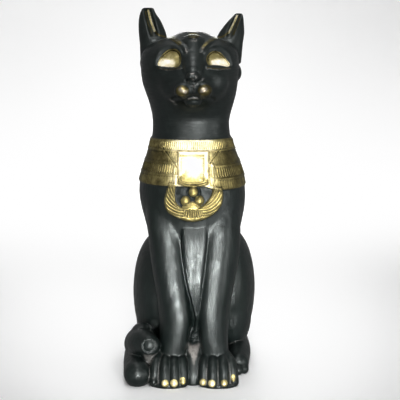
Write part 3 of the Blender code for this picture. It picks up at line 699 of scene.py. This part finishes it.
def face_relief(places):
    lines = UPPER_LIDS + LOWER_LIDS + BROWS + NOSE_LINES + (MOUTH,)
    relief = ridges(places, lines) + knob(places, *BROW_SCARAB)
    upward = np.clip((places[:, 1] - EYE_BOTTOM) / (EYE_TOP - EYE_BOTTOM), 0, 1)
    sink = EYE_SINK_BOTTOM + (EYE_SINK_TOP - EYE_SINK_BOTTOM) * upward
    for eye in EYES:
        inside = depth_inside(places, smooth_rows(eye, 6, closed=True))
        eyeball = EYEBALL * ramp(inside, EYEBALL_SLOPE) - sink * ramp(inside, EDGE_SLOPE)
        relief = relief * ramp(EDGE_SLOPE / 2 - inside, EDGE_SLOPE) + eyeball
    for centre in SOCKETS:
        relief -= SOCKET_SINK * ramp(1 - np.linalg.norm((places - centre) / SOCKET_RADII, axis=1), 1)
    return relief


def ear_relief(places):
    """The hollow of each ear, which fades out towards its root."""
    return ridges(places, EAR_HOLLOWS) * ramp(places[:, 1] - EAR_REGION[0], 2)


def foot_relief(places):
    """The hollow in the end of the tail, and the claws."""
    inside = TAIL_HOLLOW_RADIUS - np.linalg.norm(places - TAIL_HOLLOW_CENTRE, axis=1)
    relief = -TAIL_HOLLOW_SINK * ramp(inside, EDGE_SLOPE)
    for toe_row in TOES:
        relief += knob(places, (toe_row[1], CLAW_HEIGHT), CLAW_RADII, CLAW_RAISE)
    return relief


def plate_relief(points, places):
    """How far each place moves back to lie on the plate's flat front."""
    front = PLATE_FRONT_AT_TOP - PLATE_SLOPE * (PLATE_TOP - points[:, 2])
    front += PANEL_SINK * ramp(depth_inside(places, cornered(PANEL_OUTLINE)), EDGE_SLOPE)
    share = ramp(depth_inside(places, cornered(PLATE_OUTLINE)) + EDGE_SLOPE / 3, EDGE_SLOPE)
    return share * (front - points[:, 1])


def within(points, region):
    lowest, highest, back = region
    return (points[:, 2] > lowest) & (points[:, 2] < highest) & (points[:, 1] < back)


def standing_out(points, normals, *reliefs):
    """How far forward each point moves in all these reliefs, each of which is kept to its region."""
    forward = np.zeros(len(points))
    for region, relief in reliefs:
        chosen = within(points, region)
        forward[chosen] += relief(points[chosen][:, [0, 2]])
    return forward * ramp(-normals[:, 1], 0.3)


def surface_of(mesh):
    """The mesh's points in hundredths of the height, their normals, and their places (x, height)."""
    found = np.empty((2, len(mesh.vertices) * 3))
    mesh.vertices.foreach_get("co", found[0])
    mesh.vertices.foreach_get("normal", found[1])
    points = found[0].reshape(-1, 3) / HUNDREDTH
    return points, found[1].reshape(-1, 3), points[:, [0, 2]]


def carved(mesh):
    """The mesh with the collar, the face and the other relief raised from it or cut into it."""
    points, normals, places = surface_of(mesh)

    level_normals = normals * (1, 1, 0)
    level_normals /= np.maximum(np.linalg.norm(level_normals, axis=1), 1e-9)[:, None]
    made = points + level_normals * collar_relief(points)[:, None]

    made[:, 1] -= standing_out(
        points,
        normals,
        (SCARAB_REGION, scarab_relief),
        (FACE_REGION, face_relief),
        (EAR_REGION, ear_relief),
        (FOOT_REGION, foot_relief),
    )
    plate = within(points, PLATE_REGION)
    made[plate, 1] += plate_relief(made[plate], places[plate])
    mesh.vertices.foreach_set("co", (made * HUNDREDTH).ravel())
    mesh.update()
    return mesh


def waves(points, size, seed, count=24):
    """Soft even noise between about -1 and 1, with lumps of about this size."""
    chance = np.random.default_rng(seed)
    ways = chance.normal(size=(count, 3))
    ways *= (2 * math.pi / size / np.linalg.norm(ways, axis=1) * chance.uniform(0.35, 1.0, count))[:, None]
    total = np.zeros(len(points))
    for way, start in zip(ways, chance.uniform(0, 2 * math.pi, count)):
        total += np.sin(points @ way + start)
    return total / math.sqrt(count)


def near_collar(level, margin=1):
    return (level > COLLAR_EDGES[0] - margin) & (level < COLLAR_EDGES[-1] + margin)


def rib_relief(points):
    """The ribs that go round the collar, and the fans of ribs beside the plate in their stead."""
    level = collar_level(points)
    turn = np.arctan2(points[:, 0] - COLLAR_AXIS[0], COLLAR_AXIS[1] - points[:, 1])
    relief = np.zeros(len(points))
    for low, high, depth in RIB_ROWS:
        relief += depth * np.cos(turn * RIBS) * ramp(level - low, RIB_EDGE) * ramp(high - level, RIB_EDGE)
    for fan in FANS:
        share = ramp(depth_inside(points[:, [0, 2]], cornered(fan)), RIB_EDGE) * (points[:, 1] < COLLAR_AXIS[1])
        across, up = points[:, 0] - fan[2][0], points[:, 2] - fan[2][1] + FAN_CENTRE_BELOW
        relief += share * (FAN_RIB_DEPTH * np.cos(np.arctan2(across, up) * FAN_RIBS) - relief)
    return relief


def feather_relief(places):
    """Grooves between the feathers, and the fan of grooves on the scarab's body."""
    off = places - FEATHER_CENTRE
    turn, reach = np.arctan2(off[:, 0], -off[:, 1]), np.linalg.norm(off, axis=1)
    feathers = np.cos(abs(turn) * FEATHERS - reach * FEATHER_SWEEP)
    inside = ramp(inside_wings(places) - FEATHER_MARGIN, 0.3)
    x, height = places.T
    on_body = ramp(BODY_FAN_HALF_WIDTH - abs(x), 0.4) * ramp(BODY_FAN_HIGH - height, 0.3)
    fan = np.cos(np.arctan2(x - BODY_FAN_CENTRE[0], BODY_FAN_CENTRE[1] - height) * BODY_FAN_RIBS)
    fan *= ramp(height - BODY_FAN_LOW - BODY_FAN_CURVE * x**2, 0.3)
    disc, disc_radii, _ = SCARAB_PARTS[0]
    off_disc = np.linalg.norm((places - disc) / disc_radii, axis=1)
    ring = DISC_RING_SINK * ramp(1 - abs(off_disc - DISC_RING) / DISC_RING_WIDTH, 1)
    return FEATHER_DEPTH * inside * (feathers * (1 - on_body) + fan * on_body) - ring


def plate_lines(places):
    inside = depth_inside(places, cornered(PANEL_OUTLINE))
    rings = PANEL_RING_DEPTH * np.cos(inside * 2 * math.pi / PANEL_RING_PITCH)
    rings *= ramp(inside - PANEL_RINGS_FROM, 0.2) * ramp(PANEL_RINGS_TO - inside, 0.5)
    return ridges(places, PLATE_LINES) + rings


def finer(mesh):
    """The mesh with its finer relief and the slight unevenness of a hand-finished casting."""
    points, normals, places = surface_of(mesh)

    out = sum(high * waves(points, size, seed) for seed, (size, high) in enumerate(UNEVENNESS, 1))
    collar = near_collar(collar_level(points))
    off_plate = ramp(-depth_inside(places[collar], cornered(PLATE_OUTLINE)), 0.3)
    off_plate[points[collar][:, 1] > 0] = 1
    out[collar] += off_plate * rib_relief(points[collar])
    made = points + normals * out[:, None]

    nose = 1 - np.linalg.norm((points - NOSE[0]) / NOSE_CREASE_RADII, axis=1)
    made += normals * (NOSE_CREASES * ramp(nose, 0.4) * waves(points, NOSE_CREASE_SIZE, 5))[:, None]

    made[:, 1] -= standing_out(
        points,
        normals,
        (PLATE_REGION, lambda p: ridges(p, [(cord, *size) for cord in CORDS for size in (CORD_BANK, CORD_GROOVE)])),
        (PLATE_REGION, lambda p: sum(knob(p, *end) for end in ROW_ENDS)),
        (PLATE_REGION, plate_lines),
        (SCARAB_REGION, feather_relief),
        (FACE_REGION, lambda p: ridges(p, FACE_LINES)),
        (BODY_REGION, lambda p: ridges(p, BODY_LINES)),
        (FOOT_REGION, lambda p: ridges(p, CURL_LINES)),
    )
    mesh.vertices.foreach_set("co", (made * HUNDREDTH).ravel())
    mesh.update()
    return mesh


def refined(mesh, wanted):
    """The mesh with the faces that wanted() picks, by their middles, cut into four."""
    shape = bmesh.new()
    shape.from_mesh(mesh)
    middles = np.array([f.calc_center_median() for f in shape.faces]) / HUNDREDTH
    chosen = wanted(middles)
    edges = {e for f, pick in zip(shape.faces, chosen) if pick for e in f.edges}
    bmesh.ops.subdivide_edges(shape, edges=list(edges), cuts=1, use_grid_fill=True)
    shape.to_mesh(mesh)
    shape.free()
    return mesh


def lightened(mesh, triangles):
    """The mesh with its flatter stretches merged until about this many triangles are left."""

    def thin(obj):
        decimate = obj.modifiers.new("thin", "DECIMATE")
        decimate.ratio = triangles / (2 * len(mesh.polygons))

    return evaluated_mesh(mesh, thin)


def stood_on_ground(mesh):
    """The mesh cut off flat at the ground."""
    shape = bmesh.new()
    shape.from_mesh(mesh)
    everything = shape.verts[:] + shape.edges[:] + shape.faces[:]
    cut = bmesh.ops.bisect_plane(
        shape, geom=everything, dist=1e-7, plane_co=(0, 0, 0), plane_no=(0, 0, 1), clear_inner=True
    )
    edges = [e for e in cut["geom_cut"] if isinstance(e, bmesh.types.BMEdge)]
    bmesh.ops.holes_fill(shape, edges=edges)
    bmesh.ops.triangulate(shape, faces=[f for f in shape.faces if len(f.verts) > 4])
    bmesh.ops.recalc_face_normals(shape, faces=shape.faces)
    shape.to_mesh(mesh)
    shape.free()
    return mesh


# The gold paint, whose tone runs from 0, dark and worn, to 1, pale and bright; in places the tone carries painted
# highlights and painted shade. The collar's tone falls towards the sides, partly worn paint and partly painted shade
# where less light falls, and varies from row to row, the lowest first.
COLLAR_TONE_MIDDLE, COLLAR_TONE_SIDE, COLLAR_TONE_BEHIND = 0.78, 0.22, 0.18
COLLAR_BRIGHT_TO, COLLAR_DARK_OVER, COLLAR_FRONT = 3.0, 6.5, -4.0
COLLAR_ROW_TONES = (0.0, 0.04, 0.0, -0.04, 0.06, 0.0)
# The plate is painted with a pale highlight round one place
PLATE_TONE, PLATE_HIGHLIGHT_TONE = 0.42, 0.92
PLATE_HIGHLIGHT_CENTRE, PLATE_HIGHLIGHT_RADIUS = (0.8, 57.6), 4.2
WINGS_TONE, SCARAB_TONE = 0.4, 0.36
# Each eye is ochre, darkened towards its rim as painted shade, with a painted highlight in a pale band that lies low
# and on its outer side
EYE_SHADED_RIM_TONE, EYE_TONE_INSIDE, EYE_HIGHLIGHT_TONE = 0.34, 0.14, 0.5
EYE_HIGHLIGHT_TOP, EYE_HIGHLIGHT_FROM, EYE_HIGHLIGHT_SLOPE = 86.5, 4.4, 0.1
# Places (x, height): outlines, lines with their half width and tone, and dots with their radii, tone and how much it
# darkens towards the edge, which is painted shade on the rounded pads and claws
EYE_PAINT = (
    (
        (-9.35, 85.05), (-8.9, 86.2), (-8.3, 87.3), (-7.15, 88.5), (-5.6, 89.05), (-4.3, 88.95),
        (-3.4, 87.95), (-3.1, 86.45), (-3.45, 84.9), (-4.3, 84.4), (-6.7, 84.4), (-8.9, 84.6),
    ),
    (
        (3.5, 86.45), (3.9, 87.55), (4.8, 88.3), (6.0, 88.5), (7.2, 88.2), (7.95, 87.4),
        (8.85, 86.35), (9.85, 85.0), (9.2, 84.35), (7.55, 84.7), (5.35, 84.9), (4.05, 84.9),
    ),
)
GOLD_LINES = (
    (((-12.35, 99.5), (-11.6, 96.8), (-10.5, 93.8)), 0.3, 0.8),
    (((-13.1, 99.2), (-12.4, 96.2), (-11.4, 93.4)), 0.16, 0.12),
    (((-10.4, 93.8), (-9.6, 92.9), (-7.4, 92.2), (-5.6, 91.9)), 0.26, 0.1),
    (((-5.6, 91.9), (-4.4, 91.3), (-3.6, 90.6)), 0.6, 0.06),
    (((12.15, 98.1), (10.9, 95.4), (9.8, 93.4)), 0.28, 0.8),
    (((12.9, 97.4), (11.9, 94.8), (11.0, 92.8)), 0.16, 0.1),
    (((9.7, 93.4), (8.1, 92.3), (6.6, 92.1)), 0.26, 0.1),
    (((6.6, 92.1), (4.6, 91.3), (3.0, 90.0), (2.5, 89.2)), 0.4, 0.05),
    (LOWER_LIDS[0][0], 0.12, 0.05),
    (LOWER_LIDS[1][0], 0.12, 0.15),
)
FACE_DOTS = (
    ((0.15, 92.6), (1.6, 0.75), 0.1, 0.0),
    ((-2.8, 78.4), (1.7, 1.45), 0.26, 0.22),
    ((3.1, 78.6), (1.9, 1.5), 0.26, 0.22),
)
CLAW_DOTS = (
    ((-7.4, 1.5), (1.0, 1.0), 0.7, 0.3),
    ((-5.0, 1.55), (1.05, 1.05), 0.8, 0.3),
    ((-2.75, 1.9), (0.85, 1.0), 0.68, 0.3),
    ((2.65, 1.5), (0.95, 0.95), 0.7, 0.3),
    ((5.0, 1.5), (1.0, 1.0), 0.82, 0.3),
    ((8.3, 1.6), (0.95, 0.9), 0.68, 0.3),
    ((10.7, 2.5), (0.65, 0.95), 0.6, 0.3),
)
# The regions that the paint is kept to
GOLD_REGION = (-1.0, 102.0, -3.0)
LINE_PAINT_REGION = (80.0, 102.0, 20.0)
CLAW_PAINT_REGION = (-1.0, 5.6, -17.0)

# Where dust lies in front: outlines; and pale lines with their half width, which are worn paint under the eyes
# and painted highlights on the pads, nose, brow ends, forehead, mouth corner, chin and the ridges under the
# nose; and how pale each is
DUST_FRONT = -14.0
DUSTY = (
    (((-2.1, 10.2), (2.3, 10.2), (1.4, 7.2), (0.35, 4.6), (-0.9, 7.0)), 0.32),
    (((-13.6, 8.2), (-9.8, 8.2), (-11.4, 4.8), (-12.6, 5.2)), 0.16),
    (((-0.2, 5.0), (0.5, 5.0), (0.5, 0.4), (-0.2, 0.4)), 0.1),
)
WEAR_AND_HIGHLIGHT_LINES = (
    (((-3.2, 78.9), (-2.1, 78.1)), 0.7, 0.55),
    (((2.2, 78.5), (3.2, 78.9)), 0.7, 0.55),
    (((-0.5, 82.6), (0.1, 82.9)), 0.32, 0.9),
    (((0.6, 82.2), (0.8, 81.9)), 0.3, 0.8),
    (((-0.2, 81.6), (0.2, 81.3)), 0.3, 0.7),
    (((-2.0, 89.2), (-1.5, 88.0)), 0.3, 0.4),
    (((2.7, 89.3), (2.1, 88.2)), 0.3, 0.35),
    (((-0.5, 91.2), (0.8, 91.2)), 0.3, 0.35),
    (((-9.0, 84.0), (-6.6, 83.5), (-3.4, 84.0)), 0.2, 0.22),
    (((3.8, 84.1), (6.6, 83.7), (9.8, 83.9)), 0.2, 0.28),
    (((-6.05, 75.8), (-4.4, 74.5)), 0.3, 0.4),
    (((-1.1, 76.3), (0.1, 76.7), (1.3, 76.3)), 0.3, 0.35),
    (NOSE_V, 0.2, 0.25),
    (LIP_LINE, 0.2, 0.25),
)
# The dust in the hollows near the ground: how pale, up to what height, and over what height it fades in
LOW_DUST, LOW_DUST_TOP, LOW_DUST_OVER = 0.2, 9.5, 6.0

# The paints: black from dark to light and its patches, gold by its tone, and the pale colour of the dust, the worn
# paint and the painted highlights
BLACK_PAINT = ((0.0018, 0.0044, 0.0036), (0.0052, 0.0096, 0.0082))
BLACK_PATCHES = (0.0062, 0.0098, 0.01)
GOLD_PAINT = (
    (0.0, (0.035, 0.03, 0.014)),
    (0.22, (0.14, 0.115, 0.042)),
    (0.45, (0.34, 0.29, 0.12)),
    (0.7, (0.68, 0.61, 0.38)),
    (1.0, (0.98, 0.93, 0.84)),
)
DUST_AND_HIGHLIGHT_COLOUR = (0.5, 0.46, 0.43)
# The brush marks turn from upright to level between these heights, in metres
BRUSHED_LEVEL_FROM = (0.28, 0.31)

# Name, place, target, size, power and spread of each light
LIGHTS = (
    ("low_key", (0.05, -1.7, 0.12), (0.0, -0.09, 0.08), (0.3, 0.3), 0.27, 14),
    ("right_key", (0.4, -1.65, 0.35), (0.0, 0.0, 0.2), (0.4, 0.4), 0.56, 34),
    ("high_key", (0.0, -1.3, 1.4), (0.0, 0.0, 0.3), (0.5, 0.3), 0.42, 34),
    ("right_fill", (1.5, -0.9, 0.3), (0.0, 0.0, 0.2), (0.5, 0.7), 0.34, 40),
    ("top_light", (0.0, 0.1, 1.9), (0.0, 0.0, 0.3), (0.6, 0.6), 0.3, 40),
    ("back_fill", (0.0, 1.8, 0.8), (0.0, 0.0, 0.25), (0.8, 0.8), 0.5, 40),
    ("floor_light", (0.0, 1.6, 2.4), (0.0, 1.3, 0.0), (3.0, 0.8), 6.6, 70),
    ("backdrop_light", (0.0, 0.9, 2.6), (0.0, 2.6, 0.7), (3.0, 0.8), 9.0, 100),
)
WORLD_STRENGTH = 0.2
# The tones of the picture: brightness in the scene and in the render
DISPLAY_CURVE = ((0.16, 0.18), (0.33, 0.42), (0.49, 0.71), (0.65, 0.98), (0.8, 1.0))


def gold_paint(points, normals, places):
    """How deep inside the gold paint each place lies, below 0 outside it, and the gold's tone there."""
    gold = np.full(len(points), -1.0)
    tone = np.zeros(len(points))

    def lay(chosen, depth, shade):
        above = depth > gold[chosen]
        spots = np.flatnonzero(chosen)[above]
        gold[spots] = depth[above]
        tone[spots] = np.broadcast_to(shade, len(depth))[above]

    level = collar_level(points)
    band = near_collar(level)
    depth = np.minimum(level[band] - COLLAR_EDGES[0], COLLAR_EDGES[-1] + 0.1 - level[band])
    # The gold darkens towards the collar's sides: worn paint, and painted shade where less light falls.
    sideways = ramp(abs(points[band][:, 0]) - COLLAR_BRIGHT_TO, COLLAR_DARK_OVER)
    shade = COLLAR_TONE_MIDDLE + (COLLAR_TONE_SIDE - COLLAR_TONE_MIDDLE) * sideways
    shade += np.choose(np.searchsorted(COLLAR_EDGES, level[band]), COLLAR_ROW_TONES)
    lay(band, depth, np.where(points[band][:, 1] > COLLAR_FRONT, COLLAR_TONE_BEHIND, shade))

    front = within(points, GOLD_REGION)
    plate = within(points, PLATE_REGION) & front
    depth = depth_inside(places[plate], cornered(PLATE_OUTLINE))
    # A painted highlight: the plate's tone is palest round one place.
    painted_highlight = ramp(PLATE_HIGHLIGHT_RADIUS - np.linalg.norm(places[plate] - PLATE_HIGHLIGHT_CENTRE, axis=1), PLATE_HIGHLIGHT_RADIUS)
    over_collar = np.where(depth > 0, depth + 2, depth)
    lay(plate, over_collar, PLATE_TONE + (PLATE_HIGHLIGHT_TONE - PLATE_TONE) * painted_highlight)

    chest = within(points, SCARAB_REGION) & front
    lay(chest, inside_wings(places[chest]), WINGS_TONE)
    for centre, radii, _ in SCARAB_PARTS:
        off = np.linalg.norm((places[chest] - centre) / radii, axis=1)
        lay(chest, (1 - off) * min(radii), SCARAB_TONE)

    face = within(points, FACE_REGION)
    for eye in EYE_PAINT:
        inside = depth_inside(places[face], smooth_rows(eye, 4, closed=True))
        outward = abs(places[face][:, 0]) - EYE_HIGHLIGHT_FROM
        below = EYE_HIGHLIGHT_TOP - places[face][:, 1] + EYE_HIGHLIGHT_SLOPE * outward
        # Painted shade darkens each eye towards its rim, and a painted highlight lies in a pale band low on its outer
        # side.
        shade = EYE_SHADED_RIM_TONE + EYE_TONE_INSIDE * ramp(inside - 0.2, 1.0)
        shade += EYE_HIGHLIGHT_TONE * ramp(below, 0.7) * ramp(outward, 0.8)
        lay(face, inside, shade)
    near = within(points, LINE_PAINT_REGION) & (normals[:, 1] < 0.1)
    for line, half_width, shade in GOLD_LINES:
        lay(near, half_width - distance_to(places[near], smooth_rows(line, 6)), shade)
    for dots, region in ((FACE_DOTS, GOLD_REGION), (CLAW_DOTS, CLAW_PAINT_REGION)):
        near = within(points, region)
        # Each dot darkens towards its edge: painted shade on the rounded pads and claws.
        for centre, radii, shade, edge_shade in dots:
            off = np.linalg.norm((places[near] - centre) / radii, axis=1)
            lay(near, (1 - off) * min(radii), shade - edge_shade * off**2)
    return np.clip(gold, -1, 1), tone


def hollowness(mesh, points, normals):
    """How far the surface rises round each point, as a share of the distance: above 0 in hollows."""
    ends = np.empty(2 * len(mesh.edges), int)
    mesh.edges.foreach_get("vertices", ends)
    ends = ends.reshape(-1, 2)
    hollow, weight = np.zeros((2, len(points)))
    run = points[ends[:, 1]] - points[ends[:, 0]]
    length = np.maximum(np.linalg.norm(run, axis=1), 1e-6)
    for this, sign in ((0, 1), (1, -1)):
        bend = sign * (run * normals[ends[:, this]]).sum(axis=1) / length
        hollow += np.bincount(ends[:, this], bend, len(points))
        weight += np.bincount(ends[:, this], minlength=len(points))
    return hollow / np.maximum(weight, 1)


def dust_wear_and_highlights(points, places, hollow):
    """How much of the surface is pale with dust, with worn paint, and with painted highlights."""
    dust_and_highlight = LOW_DUST * ramp(LOW_DUST_TOP - points[:, 2], LOW_DUST_OVER) * ramp(hollow - 0.02, 0.1)
    dust_and_highlight *= ramp(waves(points, 7, 3) + 0.4, 1.2)
    for outline, amount in DUSTY:
        inside = depth_inside(places, cornered(outline)) + 0.15 * waves(points, 1.2, 4)
        dust_and_highlight = np.maximum(dust_and_highlight, amount * ramp(inside, 0.6) * (points[:, 1] < DUST_FRONT))
    face = within(points, FACE_REGION)
    # Pale lines on the face: painted highlights on the pads, nose, brow ends, forehead, mouth corner, chin and the
    # ridges under the nose, and worn paint under the eyes.
    for line, half_width, amount in WEAR_AND_HIGHLIGHT_LINES:
        inside = half_width - distance_to(places[face], np.array(line)) + 0.12 * waves(points[face], 0.8, 6)
        dust_and_highlight[face] = np.maximum(dust_and_highlight[face], amount * ramp(inside, 0.4))
    return dust_and_highlight


def painted(mesh):
    """Stores at each point where the gold paint is, its tone, how hollow it lies, and its dust, wear and painted
    highlights.
    """
    points, normals, places = surface_of(mesh)
    gold, tone = gold_paint(points, normals, places)
    hollow = hollowness(mesh, points, normals)
    dust_and_highlight = dust_wear_and_highlights(points, places, hollow)
    for name, values in (("gold", gold), ("tone", tone), ("hollow", hollow), ("dust_and_highlight", dust_and_highlight)):
        mesh.attributes.new(name, "FLOAT", "POINT").data.foreach_set("value", values)
    return mesh


class Shader:
    """Builds a material's nodes."""

    def __init__(self, name):
        self.material = bpy.data.materials.new(name)
        self.material.use_nodes = True
        self.tree = self.material.node_tree
        self.surface = self.tree.nodes["Principled BSDF"]

    def put(self, socket, value):
        if isinstance(value, bpy.types.NodeSocket):
            self.tree.links.new(value, socket)
        else:
            socket.default_value = value

    def add(self, kind, *values, **settings):
        node = self.tree.nodes.new(kind)
        for key, value in settings.items():
            setattr(node, key, value)
        for key, value in enumerate(values):
            if value is not None:
                self.put(node.inputs[key], value)
        return node

    def attribute(self, name):
        return self.add("ShaderNodeAttribute", attribute_name=name).outputs["Fac"]

    def math(self, operation, *values):
        return self.add("ShaderNodeMath", *values, operation=operation).outputs[0]

    def noise(self, scale, detail=3.0, roughness=0.55, stretch=None):
        place = self.add("ShaderNodeTexCoord").outputs["Object"]
        if stretch:
            place = self.add("ShaderNodeMapping", place, None, None, stretch).outputs[0]
        return self.add("ShaderNodeTexNoise", place, None, scale, detail, roughness).outputs["Fac"]

    def step(self, value, low, high, start=0.0, end=1.0):
        return self.add(
            "ShaderNodeMapRange", value, low, high, start, end, interpolation_type="SMOOTHSTEP"
        ).outputs[0]

    def mix(self, share, a, b):
        node = self.add("ShaderNodeMix", data_type="RGBA")
        self.put(node.inputs[0], share)
        for socket, value in ((node.inputs[6], a), (node.inputs[7], b)):
            self.put(socket, value if isinstance(value, bpy.types.NodeSocket) else (*value, 1))
        return node.outputs[2]

    def number_mix(self, share, a, b):
        return self.add("ShaderNodeMix", share, None, a, b).outputs[0]

    def ramp(self, value, stops):
        node = self.add("ShaderNodeValToRGB", value)
        elements = node.color_ramp.elements
        while len(elements) < len(stops):
            elements.new(0.5)
        for element, (position, colour) in zip(elements, stops):
            element.position = position
            element.color = (*colour, 1)
        return node.outputs[0]


def painted_casting():
    s = Shader("painted_casting")
    gold_depth, tone = s.attribute("gold"), s.attribute("tone")
    hollow, dust_and_highlight = s.attribute("hollow"), s.attribute("dust_and_highlight")
    broad = s.noise(14, 4)
    mottle = s.noise(90, 5, 0.65)
    grain = s.noise(420, 4, 0.6)
    brushed = s.noise(260, 4, 0.6, (1.0, 1.0, 0.18))
    swept = s.noise(200, 4, 0.6, (0.25, 0.25, 2.2))
    place = s.add("ShaderNodeTexCoord").outputs["Object"]
    height = s.add("ShaderNodeSeparateXYZ", place).outputs["Z"]
    strokes = s.number_mix(s.step(height, *BRUSHED_LEVEL_FROM), brushed, swept)

    ragged = s.math("ADD", gold_depth, s.math("MULTIPLY", s.math("SUBTRACT", grain, 0.5), 0.35))
    gold = s.step(ragged, -0.06, 0.08)

    black = s.mix(s.step(mottle, 0.35, 0.7), *BLACK_PAINT)
    black = s.mix(s.math("MULTIPLY", s.step(broad, 0.4, 0.7), 0.5), black, BLACK_PATCHES)
    # The pale mix is dust and worn paint, and painted highlights on the face.
    dust_and_highlight_share = s.math("MULTIPLY", dust_and_highlight, s.step(mottle, 0.2, 0.6, 0.5, 1.0))

    # lit is the gold's tone, which carries painted highlights and painted shade, with random mottling; hollows darken
    # it, as painted shade and as dirt in the grooves.
    lit = s.math("ADD", tone, s.math("MULTIPLY", s.math("SUBTRACT", mottle, 0.5), 0.8))
    lit = s.math("SUBTRACT", lit, s.math("MULTIPLY", s.step(hollow, 0.03, 0.16), 0.35))
    colour = s.mix(dust_and_highlight_share, s.mix(gold, black, s.ramp(lit, GOLD_PAINT)), DUST_AND_HIGHLIGHT_COLOUR)
    s.put(s.surface.inputs["Base Color"], colour)
    s.put(s.surface.inputs["Metallic"], s.math("MULTIPLY", gold, s.step(tone, 0.1, 0.9, 0.8, 0.35)))
    black_rough = s.step(s.math("ADD", mottle, s.math("SUBTRACT", strokes, 0.5)), 0.3, 0.75, 0.34, 0.5)
    s.put(s.surface.inputs["Roughness"], s.number_mix(gold, black_rough, 0.4))
    s.surface.inputs["Specular IOR Level"].default_value = 0.6
    s.surface.inputs["Specular Tint"].default_value = (0.95, 1.0, 0.98, 1)

    relief = s.math("ADD", s.math("MULTIPLY", grain, 0.4), s.math("MULTIPLY", strokes, 1.3))
    pit = s.step(s.add("ShaderNodeTexVoronoi", place, None, 260.0).outputs["Distance"], 0.05, 0.22)
    relief = s.math("ADD", relief, s.math("MULTIPLY", pit, s.step(broad, 0.5, 0.62, 0.0, 0.5)))
    bump = s.add("ShaderNodeBump")
    bump.inputs["Strength"].default_value = 0.7
    bump.inputs["Distance"].default_value = 0.0004
    s.put(bump.inputs["Height"], relief)
    s.put(s.surface.inputs["Normal"], bump.outputs[0])
    return s.material


def statue():
    mesh = finer(refined(carved(statue_form(STATUE_VOXEL)), in_collar_or_scarab))
    mesh = outer_skin(stood_on_ground(lightened(mesh, TRIANGLES)))
    mesh = painted(mesh)
    mesh.materials.clear()
    mesh.materials.append(painted_casting())
    mesh.shade_smooth()
    piece = bpy.data.objects.new("painted_cat", mesh)
    bpy.context.scene.collection.objects.link(piece)
    return piece


def in_collar_or_scarab(middles):
    in_collar = near_collar(collar_level(middles), 0.2) & (middles[:, 1] < COLLAR_REFINED_TO)
    in_scarab = within(middles, SCARAB_REGION) & (middles[:, 1] < SCARAB_BACK)
    return in_collar | in_scarab & (abs(middles[:, 0]) < SCARAB_HALF_WIDTH)


def plain(name, colour, roughness):
    s = Shader(name)
    s.surface.inputs["Base Color"].default_value = (*colour, 1)
    s.surface.inputs["Roughness"].default_value = roughness
    return s.material


def studio():
    """A pale floor that curves up into a backdrop."""
    profile = [(-4.0, 0.0), (1.6, 0.0)]
    profile += [(1.6 + 1.0 * math.sin(a), 1.0 - 1.0 * math.cos(a)) for a in np.radians(range(10, 91, 10))]
    profile += [(2.6, 4.0)]
    points = [(x, y, z) for y, z in profile for x in (-6.0, 6.0)]
    faces = [(2 * i, 2 * i + 1, 2 * i + 3, 2 * i + 2) for i in range(len(profile) - 1)]
    mesh = bpy.data.meshes.new("floor")
    mesh.from_pydata(points, [], faces)
    mesh.shade_smooth()
    mesh.materials.append(plain("pale_floor", (0.93, 0.93, 0.93), 0.8))
    floor = bpy.data.objects.new("floor", mesh)
    floor.visible_glossy = False
    bpy.context.scene.collection.objects.link(floor)
    return floor


def aim(obj, target):
    obj.rotation_euler = (Vector(target) - obj.location).to_track_quat("-Z", "Y").to_euler()


def light(name, place, target, size, power, spread):
    lamp = bpy.data.lights.new(name, "AREA")
    lamp.shape = "RECTANGLE"
    lamp.size, lamp.size_y = size
    lamp.energy = power
    lamp.spread = math.radians(spread)
    obj = bpy.data.objects.new(name, lamp)
    obj.location = place
    aim(obj, target)
    bpy.context.scene.collection.objects.link(obj)


def camera():
    lens = bpy.data.cameras.new("camera")
    lens.lens = 93.3
    lens.sensor_width = 36.0
    lens.shift_x = 0.0175
    obj = bpy.data.objects.new("camera", lens)
    obj.location = (0.0, -1.45, 0.46)
    aim(obj, (0.0, 0.0, 0.233))
    bpy.context.scene.collection.objects.link(obj)
    bpy.context.scene.camera = obj


def main():
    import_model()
    camera()
    piece = statue()
    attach(piece, "root")
    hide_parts("cat_statue")
    studio()
    for row in LIGHTS:
        light(*row)
    world = bpy.data.worlds.new("studio")
    world.use_nodes = True
    world.node_tree.nodes["Background"].inputs[0].default_value = (1, 1, 1, 1)
    world.node_tree.nodes["Background"].inputs[1].default_value = WORLD_STRENGTH
    bpy.context.scene.world = world
    view = bpy.context.scene.view_settings
    view.view_transform = "Standard"
    view.use_curve_mapping = True
    for place in DISPLAY_CURVE:
        view.curve_mapping.curves[3].points.new(*place)
    view.curve_mapping.update()


main()
